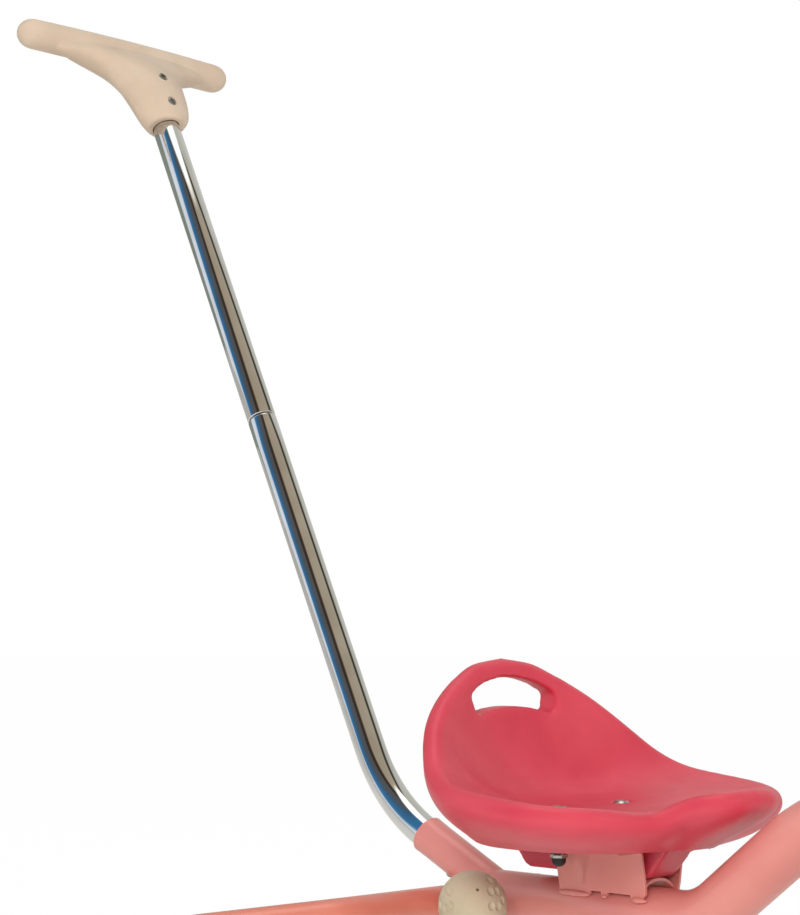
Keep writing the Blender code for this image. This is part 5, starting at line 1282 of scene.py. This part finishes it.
# %% Tyres
GROOVE_DEPTH, CENTRE_HALF = 0.0016, 0.10     # the centre groove as a share of the half width
# half of the outline: share of the height below the crown, share of the half width
TYRE_SIDE = ((0.55, 1.0), (0.30, 0.95), (0.13, 0.82), (0.035, 0.62), (0.0, 0.34), (0.0, 0.10))


def tyre(name, diameter, height, width, middle, body, replaced, steps):
    outer, half = diameter / 2, width / 2
    inner = outer - height
    crown_side = [(outer - height * down, half * wide) for down, wide in TYRE_SIDE]
    inner_side = [(outer - height * 0.80, half * 0.94), (inner + 0.001, half * 0.86),
                  (inner, half * 0.80)]
    profile = [(radius, -wide) for radius, wide in crown_side]
    profile += crown_side[::-1] + inner_side
    profile += [(radius, -wide) for radius, wide in reversed(inner_side)]
    work = bmesh.new()
    spin_profile(work, profile, Matrix(), steps, True)
    bmesh.ops.remove_doubles(work, verts=work.verts, dist=0.00001)
    bmesh.ops.recalc_face_normals(work, faces=work.faces)
    grooves = []
    for face in work.faces:
        spot = face.calc_center_median()
        column = int((math.degrees(math.atan2(spot.y, spot.x)) % 360) / 360 * steps)
        crown = math.hypot(spot.x, spot.y) > outer - height * 0.24
        middle_row = abs(spot.z) < half * CENTRE_HALF
        across = (column + (2 if spot.z > 0 else 0)) % 4 == 0 and abs(spot.z) > half * CENTRE_HALF
        if crown and (middle_row or across):
            grooves.append(face)
    made = bmesh.ops.extrude_face_region(work, geom=grooves)["geom"]
    for item in made:
        if isinstance(item, bmesh.types.BMVert):
            reach = math.hypot(item.co.x, item.co.y)
            share = (reach - GROOVE_DEPTH) / reach
            item.co.x *= share
            item.co.y *= share
    bmesh.ops.delete(work, geom=[face for face in grooves if face.is_valid], context="FACES_ONLY")
    bmesh.ops.transform(work, matrix=along(middle, LEFT, FORWARD), verts=work.verts)
    finish_piece(name, work, tyre_rubber, body, [replaced], sharp=32)


# %% Moulded wheels
RIM_T, WEB_T, SPOKES, SPOKE_W, WINDOW_MARGIN = 0.006, 0.012, 5, 0.024, 0.007
WINDOW_STEPS, WINDOW_R = 12, 0.005


def moulded_wheel(name, tyre_inner, width, hub_d, hub_length, bore, middle, body, replaced):
    rim = tyre_inner - GAP
    well = rim - RIM_T
    half, web, hub = width / 2 * 0.86, WEB_T / 2, hub_length / 2
    side_profile = [(bore / 2, hub), (hub_d / 2 - 0.003, hub), (hub_d / 2, hub - 0.002),
                    (hub_d / 2 + 0.003, web + 0.001), (hub_d / 2 + 0.006, web), (well - 0.006, web),
                    (well - 0.002, web + 0.002), (well, half - 0.0006), (well + 0.0008, half),
                    (rim - 0.0008, half), (rim, half - 0.0008)]
    profile = side_profile + [(radius, -height) for radius, height in reversed(side_profile)]
    matrix = along(middle, LEFT, FORWARD)
    wheel = turned(name, profile, matrix, wheel_cream, body, [replaced], steps=120, closed=True)
    low, high = hub_d / 2 + WINDOW_MARGIN, well - WINDOW_MARGIN
    for number in range(SPOKES):
        outline = []
        for radius, order in ((low, 1), (high, -1)):
            edge = math.degrees(math.asin(SPOKE_W / 2 / radius))
            first, last = edge, 360 / SPOKES - edge
            for i in range(WINDOW_STEPS + 1):
                share = i / WINDOW_STEPS if order > 0 else 1 - i / WINDOW_STEPS
                angle = math.radians(90 + number * 360 / SPOKES + first + (last - first) * share)
                outline.append((radius * math.cos(angle), radius * math.sin(angle)))
        combine(wheel, prism(round_window(outline, WINDOW_R), width * 2, matrix))
    break_edges(wheel, width=0.0009, degrees=60)


def round_window(outline, radius):
    """The outline with its four corners rounded."""
    half = len(outline) // 2
    corners = {0, half - 1, half, len(outline) - 1}
    result = []
    for i, spot in enumerate(outline):
        if i not in corners:
            result.append(spot)
            continue
        here = Vector(spot)
        before = Vector(outline[i - 1]) - here
        after = Vector(outline[(i + 1) % len(outline)]) - here
        start = here + before.normalized() * min(radius, before.length * 0.8)
        end = here + after.normalized() * min(radius, after.length * 0.8)
        result += corner_arc(start, here, end, 5)
    return result


# %% Rear wheels, axle and hub caps
HUB_CAP_D, HUB_CAP_T, WASHER_D, BUSH_LIP_D = 0.030, 0.009, 0.026, 0.024
AXLE_END = REAR_HUB_OUT + BUSH_LIP + WASHER_T + 3 * GAP + HUB_CAP_T * 0.6
BUSH_WALL, CRANK_BUSH_WALL = 0.0025, 0.0035
axle_bore = REAR_AXLE_D + 2 * RUNNING + 2 * BUSH_WALL + 2 * GAP


def at_rear_axle(y):
    return place(REAR_AXLE_F, y, REAR_AXLE_Z)


def ring_profile(outer, bore, low, high, edge=0.0003):
    """A washer or collar outline, its four corners rounded."""
    points = [(bore, low), (outer, low), (outer, high), (bore, high)]
    return rounded_profile(points + [points[0], points[1]], edge)[1:-1]


axle_r = REAR_AXLE_D / 2
axle_half = [(0.0, AXLE_END), (axle_r - 0.001, AXLE_END), (axle_r, AXLE_END - 0.001)]
axle_profile = axle_half + [(radius, -up) for radius, up in reversed(axle_half)]
turned("rear_axle_bar", axle_profile, along(at_rear_axle(0), LEFT), zinc, "frame", ["rear_axle"])
lip_profile = ring_profile(BUSH_LIP_D / 2, axle_r + RUNNING, GAP, BUSH_LIP)
washer_profile = ring_profile(WASHER_D / 2, axle_r + GAP, 0.0, WASHER_T)
top = HUB_CAP_T + WASHER_T
cap_profile = [(0.0, top), (0.004, top - 0.0002), (HUB_CAP_D * 0.30, top - 0.0008),
               (HUB_CAP_D * 0.40, top * 0.83), (HUB_CAP_D * 0.455, top * 0.62),
               (HUB_CAP_D / 2, top * 0.30), (HUB_CAP_D / 2, 0.0), (HUB_CAP_D * 0.36, 0.0)]
cap_profile = rounded_profile(cap_profile, 0.0010)
for side, name in SIDES:
    out = LEFT * side
    body = f"{name}_rear_wheel"
    middle = at_rear_axle(side * REAR_WHEEL_Y)
    tyre(f"{name}_rear_tread", REAR_WHEEL_D, REAR_TYRE_H, REAR_TYRE_W, middle, body,
         f"{name}_rear_tyre", 144)
    moulded_wheel(f"{name}_rear_wheel_moulded", REAR_WHEEL_D / 2 - REAR_TYRE_H, REAR_TYRE_W,
                  REAR_HUB_D, REAR_HUB_LENGTH, axle_bore, middle, body, body)
    for face, way, end in ((REAR_HUB_IN, -out, "inner"), (REAR_HUB_OUT, out, "outer")):
        turned(f"{name}_{end}_bush_lip", lip_profile, along(at_rear_axle(side * face), way),
               white_nylon, body, [f"{name}_wheel_{end}_bush"], closed=True)
    turned(f"{name}_washer_zinc", washer_profile,
           along(at_rear_axle(side * (LEG_Y + ARCH_D / 2 + GAP)), out), zinc, "frame",
           [f"{name}_inner_washer"], closed=True)
    turned(f"{name}_hub_cap_domed", cap_profile,
           along(at_rear_axle(side * (REAR_HUB_OUT + BUSH_LIP + GAP)), out), pink_coat, "frame",
           [f"{name}_hub_cap"])
print("rear wheels at", round(REAR_WHEEL_Y, 4))

# %% [markdown]
# ## Head tube, fork and front wheel
#
# The head tube is welded to the main tube's end and holds two flanged bushes. The fork is one
# tube bent over the wheel, welded to the steerer, with an eye at each end for the crank's bush.

# %% Head tube and bushes
FLANGE_T, FLANGE_D, STEERER_D, STEERER_WALL = 0.003, 0.040, 0.026, 0.0015


def on_steering_axis(up):
    return HEAD_MIDDLE + STEER_UP * up


head_half = HEAD_LENGTH / 2
head_profile = ring_profile(HEAD_D / 2, HEAD_D / 2 - HEAD_WALL, -head_half, head_half, 0.0006)
turned("head_tube_skin", head_profile, along(HEAD_MIDDLE, STEER_UP), pink_coat, "frame",
       ["head_tube"], closed=True)
flange_profile = ring_profile(FLANGE_D / 2, STEERER_D / 2 + RUNNING, GAP, FLANGE_T + GAP, 0.0008)
for name, up, way in (("lower", -head_half, -STEER_UP), ("upper", head_half, STEER_UP)):
    turned(f"{name}_head_bush_flange", flange_profile, along(on_steering_axis(up), way),
           black_nylon, "frame", [f"{name}_head_bush"], closed=True)

# %% Fork and steerer
FORK_D, FORK_HALF, FORK_BEND_R, FORK_OFFSET = 0.020, 0.044, 0.029, 0.014
EYE_D, EYE_LENGTH, CRANK_D, FRONT_AXLE_Z, CLAMP_T = 0.030, 0.022, 0.012, 0.140, 0.022
CROWN_DROP = 0.015
CROWN_UP = -head_half - FLANGE_T - GAP - CROWN_DROP
CLAMP_UP = head_half + FLANGE_T + 2 * GAP
FRONT_AXLE_F = HEAD_F + (HEAD_Z - FRONT_AXLE_Z) / tan_deg(HEAD_ANGLE) + FORK_OFFSET
AXLE = place(FRONT_AXLE_F, 0.0, FRONT_AXLE_Z)
crown = on_steering_axis(CROWN_UP)
half = LEFT * FORK_HALF
blade_way = (AXLE - crown).normalized()
fork_end = AXLE - blade_way * (EYE_D / 2 - 0.001)
fork_path = bent_path([fork_end - half, crown - half, crown + half, fork_end + half],
                      [FORK_BEND_R] * 2, 4)
solid_rod("fork_blades_skin", evenly(fork_path, 0.02), FORK_D, pink_coat, "fork",
          ["fork_blades"], 44)
steer_low, steer_high = CROWN_UP - 0.004, CLAMP_UP + CLAMP_T
steerer_bore = STEERER_D / 2 - STEERER_WALL
steer_profile = ring_profile(STEERER_D / 2, steerer_bore, steer_low, steer_high, 0.0005)
turned("steerer_tube", steer_profile, along(HEAD_MIDDLE, STEER_UP), pink_coat, "fork", ["steerer"],
       closed=True)
eye_bore = CRANK_D / 2 + RUNNING + CRANK_BUSH_WALL + GAP
eye_profile = ring_profile(EYE_D / 2, eye_bore, 0.0, EYE_LENGTH, 0.0012)
bush_profile = ring_profile(eye_bore - GAP, CRANK_D / 2 + RUNNING, GAP, EYE_LENGTH - GAP, 0.0005)
for side, name in SIDES:
    inside = along(AXLE + LEFT * side * (FORK_HALF - EYE_LENGTH / 2), LEFT * side)
    turned(f"{name}_fork_eye_skin", eye_profile, inside, pink_coat, "fork",
           [f"{name}_fork_eye"], closed=True)
    turned(f"{name}_crank_bush_nylon", bush_profile, inside, white_nylon, "fork",
           [f"{name}_crank_bush"], closed=True)

# %% Welds of the frame and fork
work = bmesh.new()
line = []
tube_way = in_side_view(TUBE_TOP_RISE)
for i in range(49):
    turn = math.tau * i / 48
    way = in_side_view(90 + TUBE_TOP_RISE) * math.cos(turn) + LEFT * math.sin(turn)
    start = place(HEAD_F, 0, top_z) + way * TUBE_D / 2 - tube_way * 0.06
    # where the line along the tube's wall meets the head tube's wall
    off = start - HEAD_MIDDLE
    flat_off = off - STEER_UP * off.dot(STEER_UP)
    flat_way = tube_way - STEER_UP * tube_way.dot(STEER_UP)
    a, b = flat_way.dot(flat_way), 2 * flat_off.dot(flat_way)
    c = flat_off.dot(flat_off) - (HEAD_D / 2) ** 2
    under = b * b - 4 * a * c
    run = (-b - math.sqrt(max(0.0, under))) / (2 * a)
    line.append(start + tube_way * run)
weld_bead(work, line, 0.0024, 3)
finish_piece("head_welds", work, pink_coat, "frame")
work = bmesh.new()
line = []
for i in range(41):
    turn = math.tau * i / 40
    around = STEER_BACK * math.cos(turn) + LEFT * math.sin(turn)
    drop = math.sqrt(max(0.0, (FORK_D / 2) ** 2 - (STEERER_D / 2 * math.cos(turn)) ** 2))
    line.append(crown + around * STEERER_D / 2 + STEER_UP * max(0.002, drop))
weld_bead(work, line, 0.0019, 5)
for side in (1, -1):
    level = along(AXLE + half * side - blade_way * (EYE_D / 2 - 0.0006), blade_way)
    ring = [level @ Vector((FORK_D / 2 * math.cos(math.tau * i / 30),
                            FORK_D / 2 * math.sin(math.tau * i / 30), 0)) for i in range(31)]
    weld_bead(work, ring, 0.0017, 7)
finish_piece("fork_welds", work, pink_coat, "fork")

# %% Front wheel and crank
FRONT_WHEEL_D, FRONT_TYRE_H, FRONT_TYRE_W = 0.280, 0.024, 0.036
FRONT_HUB_D, FRONT_HUB_LENGTH = 0.046, 0.060
tyre("front_tread", FRONT_WHEEL_D, FRONT_TYRE_H, FRONT_TYRE_W, AXLE, "front_wheel", "front_tyre",
     192)
moulded_wheel("front_wheel_moulded", FRONT_WHEEL_D / 2 - FRONT_TYRE_H, FRONT_TYRE_W,
              FRONT_HUB_D, FRONT_HUB_LENGTH, CRANK_D + 2 * GAP, AXLE, "front_wheel",
              "front_wheel")
CRANK_ARM_Y, CRANK_BEND_R, THROW = 0.070, 0.014, Vector((0.075, 0, 0))
PEDAL_LENGTH, PEDAL_WIDTH, PEDAL_HEIGHT = 0.072, 0.066, 0.020
PEDAL_CAP_D, PEDAL_CAP_T = 0.022, 0.006
pedal_from = CRANK_ARM_Y + CRANK_BEND_R + 2 * GAP
pin_end = pedal_from + PEDAL_LENGTH + PEDAL_CAP_T * 0.7
crank_corners = [AXLE + THROW - LEFT * pin_end, AXLE + THROW - LEFT * CRANK_ARM_Y,
                 AXLE - LEFT * CRANK_ARM_Y, AXLE + LEFT * CRANK_ARM_Y,
                 AXLE - THROW + LEFT * CRANK_ARM_Y, AXLE - THROW + LEFT * pin_end]
crank_path = evenly(bent_path(crank_corners, [CRANK_BEND_R] * 4, 6), 0.02)
solid_rod("crank_bent", crank_path, CRANK_D, zinc, "front_wheel", ["crank"], 32)

# %% [markdown]
# ## Pedals
#
# Each pedal is a moulded block with two long slots that save plastic and shed water. Its treads
# carry low ribs across, so that a shoe doesn't slip.

# %% Pedals


def block(size, middle):
    work = bmesh.new()
    bmesh.ops.create_cube(work, size=1.0)
    bmesh.ops.scale(work, vec=size, verts=work.verts)
    bmesh.ops.translate(work, vec=middle, verts=work.verts)
    return work


RIBS, RIB_STEP, RIB_PROUD = 7, 0.0088, 0.0008     # the block is lower by the ribs on both sides
rib_size = (PEDAL_WIDTH * 0.80, 0.0026, 0.0028)
slot_size = (PEDAL_WIDTH * 0.22, PEDAL_LENGTH * 0.78, 0.05)
cap_profile = [(0.0, PEDAL_CAP_T), (PEDAL_CAP_D * 0.40, PEDAL_CAP_T - 0.0003),
               (PEDAL_CAP_D / 2, PEDAL_CAP_T * 0.6), (PEDAL_CAP_D / 2, 0.0), (CRANK_D / 2, 0.0)]
cap_profile = rounded_profile(cap_profile, 0.0008)
def cut_slots(pedal, middle):
    for share in (-0.30, 0.30):
        at = middle + Vector((share * PEDAL_WIDTH, 0, 0))
        combine(pedal, round_edges(block(slot_size, at), 0.003))


for side, name in SIDES:
    pin = AXLE - THROW * side
    out = LEFT * side
    middle = pin + out * (pedal_from + PEDAL_LENGTH / 2)
    body = block((PEDAL_WIDTH, PEDAL_LENGTH, PEDAL_HEIGHT - 2 * RIB_PROUD), middle)
    pedal = finish_piece(f"{name}_pedal_block", round_edges(body, 0.0048, 4), wheel_cream,
                         f"{name}_pedal", [f"{name}_pedal"])
    cut_slots(pedal, middle)
    for rib in range(RIBS):
        at = middle + LEFT * (rib - RIBS // 2) * RIB_STEP
        for up in (1, -1):
            spot = at + UP * up * (PEDAL_HEIGHT / 2 - rib_size[2] / 2)
            combine(pedal, round_edges(block(rib_size, spot), 0.0007, 2), "UNION")
    # the ribs ran across the slots, which are cleared again
    cut_slots(pedal, middle)
    combine(pedal, bar(middle - LEFT * 0.05, middle + LEFT * 0.05, CRANK_D + 2 * RUNNING))
    turned(f"{name}_pedal_cap_domed", cap_profile,
           along(pin + out * (pedal_from + PEDAL_LENGTH + GAP), out), pink_coat, "front_wheel",
           [f"{name}_pedal_cap"], steps=48)

# %% [markdown]
# ## Handlebar
#
# The bar rises a little on each side of a short column that a clamp holds in the steerer. The
# hand grips are ribbed so that small hands find them, with a flange on the inner end.

# %% Handlebar and clamp
BAR_D, BAR_Z, BAR_HALF, BAR_BEND_R = 0.022, 0.540, 0.158, 0.040
BAR_RISE, BAR_SWEEP, BAR_CENTRE = 0.014, 0.004, 0.030
BAR_MIDDLE = HEAD_MIDDLE + STEER_UP * ((BAR_Z - HEAD_Z) / STEER_UP.z)


def bar_corners(side):
    inner = BAR_MIDDLE + LEFT * side * BAR_CENTRE
    knee = BAR_MIDDLE + LEFT * side * (BAR_CENTRE + BAR_RISE * 1.6) + UP * BAR_RISE
    end = Vector((knee.x - BAR_SWEEP, side * BAR_HALF, knee.z))
    return inner, knee, end


right, left = bar_corners(-1), bar_corners(1)
bar_path = evenly(bent_path([*reversed(right), *left], [BAR_BEND_R] * 4, 4), 0.02)
handlebar = solid_rod("handlebar_bent", bar_path, BAR_D, chrome, "fork", ["handlebar"], 48)
combine(handlebar, bar(on_steering_axis(CLAMP_UP - 0.05), BAR_MIDDLE, BAR_D, 48), "UNION")
CLAMP_D, CLAMP_BOLT_D, CLAMP_SLIT = 0.038, 0.0036, 0.0025
clamp_profile = ring_profile(CLAMP_D / 2, STEERER_D / 2 + GAP, 0.0, CLAMP_T, 0.0012)
clamp = turned("stem_clamp_ring", clamp_profile, along(on_steering_axis(CLAMP_UP), STEER_UP),
               chrome, "fork", ["stem_clamp"], closed=True)
clamp_middle = on_steering_axis(CLAMP_UP + CLAMP_T / 2)
slit = [(0.0, -CLAMP_T), (CLAMP_D, -CLAMP_T), (CLAMP_D, CLAMP_T), (0.0, CLAMP_T)]
combine(clamp, prism(slit, CLAMP_SLIT, along(clamp_middle, LEFT, -STEER_BACK)))
bolt_at = clamp_middle - STEER_BACK * (CLAMP_D / 2 + STEERER_D / 2) / 2
reach = LEFT * CLAMP_D * 0.42
combine(clamp, bar(bolt_at - reach * 2, bolt_at + reach * 2, CLAMP_BOLT_D + 2 * GAP))
work = bar(bolt_at - reach, bolt_at + reach, CLAMP_BOLT_D, 32)
finish_piece("clamp_bolt_shank", work, zinc, "fork", ["clamp_bolt"])

# %% Hand grips
GRIP_LENGTH, HAND_GRIP_R, FLANGE_R, GRIP_END_T = 0.096, 0.015, 0.022, 0.004
GRIP_RIBS, GRIP_RIB_STEP, GRIP_SWELL = 11, 0.0062, 0.0012
profile = [(BAR_D / 2 + GAP, 0.0), (FLANGE_R - 0.001, 0.0), (FLANGE_R, 0.0012),
           (FLANGE_R, 0.0030), (FLANGE_R - 0.001, 0.0042), (HAND_GRIP_R + 0.002, 0.0052),
           (HAND_GRIP_R - 0.0002, 0.009)]
for rib in range(GRIP_RIBS):
    at = 0.013 + rib * GRIP_RIB_STEP
    swell = GRIP_SWELL * math.sin(math.pi * (rib + 0.5) / GRIP_RIBS)
    low_r, high_r = HAND_GRIP_R - 0.0022 + swell, HAND_GRIP_R - 0.0006 + swell
    profile += [(low_r, at), (high_r, at + 0.0012), (high_r, at + 0.0038), (low_r, at + 0.0050)]
profile += [(HAND_GRIP_R * 1.02, GRIP_LENGTH - 0.013), (HAND_GRIP_R * 1.02, GRIP_LENGTH - 0.004),
            (HAND_GRIP_R * 0.82, GRIP_LENGTH - 0.0005), (0.0, GRIP_LENGTH)]
hand_grip_profile = rounded_profile(profile, 0.0007)
for side, name in SIDES:
    inner, knee, end = bar_corners(side)
    axis = (end - knee).normalized()
    start = end - axis * (GRIP_LENGTH - GRIP_END_T - GAP)
    turned(f"{name}_hand_grip_ribbed", hand_grip_profile, along(start, axis), grip_cream,
           "fork", [f"{name}_hand_grip"], steps=56)
print("handlebar at", [round(v, 4) for v in BAR_MIDDLE])

# %% [markdown]
# ## Snap buttons and clips
#
# Two domed buttons on springs lock the push handle: one under the socket, one behind the joint.
# The brake's clips keep the shape that the CAD model gives them, and only take the arch's paint,
# whose darker, warmer tone is painted shade.

# %% Snap buttons and clips
BUTTON_R, BUTTON_PROUD, BUTTON_SINK, BUTTON_CREST = 0.003, 0.0028, 0.003, 0.5
JOINT_BUTTON_UP, SOCKET_BUTTON_IN = 0.014, 0.034
joint_at = HANDLE_JOINT + HANDLE_UP * JOINT_BUTTON_UP
socket_at = SOCKET_MOUTH - SOCKET_OUT * SOCKET_BUTTON_IN
# the holes that the buttons stand in
for piece, at, way in ((socket_tube, socket_at, SOCKET_DOWN), (lower_tube, socket_at, SOCKET_DOWN),
                       (lower_tube, joint_at, HANDLE_BACK), (upper_tube, joint_at, HANDLE_BACK)):
    combine(piece, bar(at + way * BUTTON_R, at + way * 0.020, 2 * BUTTON_R + 2 * GAP, 32))
for name, at, way, tube_d in (("socket_button", socket_at, SOCKET_DOWN, SOCKET_D),
                              ("joint_button", joint_at, HANDLE_BACK, HANDLE_D)):
    top = tube_d / 2 + BUTTON_PROUD
    low = tube_d / 2 - BUTTON_SINK
    profile = [(0.0, top)]
    for degrees in range(12, 91, 13):
        turn = math.radians(degrees)
        drop = BUTTON_R * BUTTON_CREST * (1 - math.cos(turn))
        profile.append((BUTTON_R * math.sin(turn), top - drop))
    profile += [(BUTTON_R, top - 0.0018), (BUTTON_R, low), (0.0, low)]
    turned(f"{name}_dome", profile, along(at, way), zinc, name, [name], steps=32)
for name in ("left_brake_clip", "right_brake_clip"):
    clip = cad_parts[name]
    for slot in clip.material_slots:
        slot.material = arch_coat_painted_shade

# %% [markdown]
# ## Setting
#
# The floor and the world are pale, so that the tricycle stands on white as in a catalogue.
# Chrome has no look of its own and shows the room. The photographer's room had a blue window, a
# dark figure by the camera and warm walls, so reflections see such a room in soft upright bands,
# while the light on the tricycle stays plain and soft.

# %% World and floor
WHITE, SOFT_LIGHT, SOFT_TINT = (1.0, 1.0, 1.0, 1.0), 0.62, (1.0, 0.985, 0.96, 1.0)
CEILING, CEILING_FROM, CEILING_FULL = (2.4, 2.4, 2.3, 1.0), 0.94, 0.99
FLOOR_RADIUS, FLOOR_GLOW = 60.0, 0.98
scene = bpy.context.scene
scene.view_settings.view_transform = "Standard"
world = bpy.data.worlds.new("studio")
scene.world = world
world.use_nodes = True
tree = world.node_tree
soft_light = tree.nodes["Background"]
soft_light.inputs["Color"].default_value = SOFT_TINT
soft_light.inputs["Strength"].default_value = SOFT_LIGHT
backdrop = add_node(tree, "Background", {"Color": WHITE, "Strength": 1.0})
# the room's bands: turn in degrees from straight ahead towards the left, and colour
ROOM = ((-180, "8E958C"), (-158, "8E958C"), (-150, "F4F8FF"), (-128, "E8F2FF"), (-121, "3F82B4"),
        (-102, "41698C"), (-95, "596068"), (-75, "5C5E60"), (-67, "3E3128"), (-52, "4A3C30"),
        (-44, "B3A58F"), (38, "B8AC98"), (44, "3C3B36"), (61, "4A4943"), (70, "C9C8BE"),
        (130, "D8D8D0"), (144, "8E958C"), (180, "8E958C"))
way = add_node(tree, "TexCoord")
parts = add_node(tree, "SeparateXYZ", {"Vector": (way, "Generated")})
turn = add_node(tree, "Math", {0: (parts, "Y"), 1: (parts, "X")}, operation="ARCTAN2")
share = add_node(tree, "MapRange", {"Value": (turn, 0), "From Min": -math.pi, "From Max": math.pi})
room = add_node(tree, "ValToRGB", {"Fac": (share, "Result")})
stops = room.color_ramp.elements
for number, (degrees, tint) in enumerate(ROOM):
    at = (degrees + 180) / 360
    stop = stops[number] if number < 2 else stops.new(at)
    stop.position = at
    stop.color = colour(tint)
overhead = add_node(tree, "MapRange", {"Value": (parts, "Z"), "From Min": CEILING_FROM,
                                       "From Max": CEILING_FULL})
ceiling = add_node(tree, "Mix", {0: (overhead, "Result"), 6: (room, "Color"), 7: CEILING},
                   data_type="RGBA")
mirrored = add_node(tree, "Background", {"Color": (ceiling, 2), "Strength": 1.0})
rays = add_node(tree, "LightPath")
seen = add_node(tree, "Math", {0: (rays, "Is Camera Ray"), 1: (rays, "Is Transmission Ray")},
                operation="MAXIMUM")
mix = add_node(tree, "MixShader", {0: (rays, "Is Glossy Ray"), 1: (soft_light, 0),
                                   2: (mirrored, 0)})
final = add_node(tree, "MixShader", {0: (seen, 0), 1: (mix, 0), 2: (backdrop, 0)})
tree.links.new(final.outputs[0], tree.nodes["World Output"].inputs["Surface"])

work = bmesh.new()
bmesh.ops.create_circle(work, cap_ends=True, radius=FLOOR_RADIUS, segments=64)
floor_mesh = bpy.data.meshes.new("floor")
work.to_mesh(floor_mesh)
work.free()
floor_material, floor_tree, floor_shader, _ = new_material("studio_floor", Roughness=0.75)
floor_shader.inputs["Base Color"].default_value = colour("F4F2EE")
glow = add_node(floor_tree, "Emission", {"Color": WHITE, "Strength": 1.0})
floor_rays = add_node(floor_tree, "LightPath")
floor_share = add_node(floor_tree, "Math", {0: (floor_rays, "Is Camera Ray"), 1: FLOOR_GLOW},
                       operation="MULTIPLY")
floor_mix = add_node(floor_tree, "MixShader", {0: (floor_share, 0), 1: (floor_shader, 0),
                                               2: (glow, 0)})
floor_tree.links.new(floor_mix.outputs[0], floor_tree.nodes["Material Output"].inputs["Surface"])
floor_mesh.materials.append(floor_material)
floor = bpy.data.objects.new("floor", floor_mesh)
scene.collection.objects.link(floor)
floor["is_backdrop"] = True

# %% Lamps
LIT_MIDDLE = Vector((0.0, 0.0, 0.4))


def area_lamp(name, at, size, power, tint):
    """A round lamp that looks at the tricycle and isn't seen in the chrome."""
    data = bpy.data.lights.new(name, "AREA")
    data.shape = "DISK"
    data.size = size
    data.energy = power
    data.color = tint
    lamp = bpy.data.objects.new(name, data)
    lamp.location = at
    lamp.visible_glossy = False
    lamp.rotation_euler = (LIT_MIDDLE - Vector(at)).to_track_quat("-Z", "Y").to_euler()
    scene.collection.objects.link(lamp)


area_lamp("key", (1.5, -2.5, 1.7), 1.6, 50, (1.0, 0.95, 0.89))
area_lamp("fill", (2.4, 0.6, 1.6), 1.8, 14, (1.0, 0.97, 0.94))
area_lamp("back", (-2.2, 1.6, 2.2), 1.4, 16, (0.92, 0.96, 1.0))

# %% Bounds of all pieces
low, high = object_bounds()
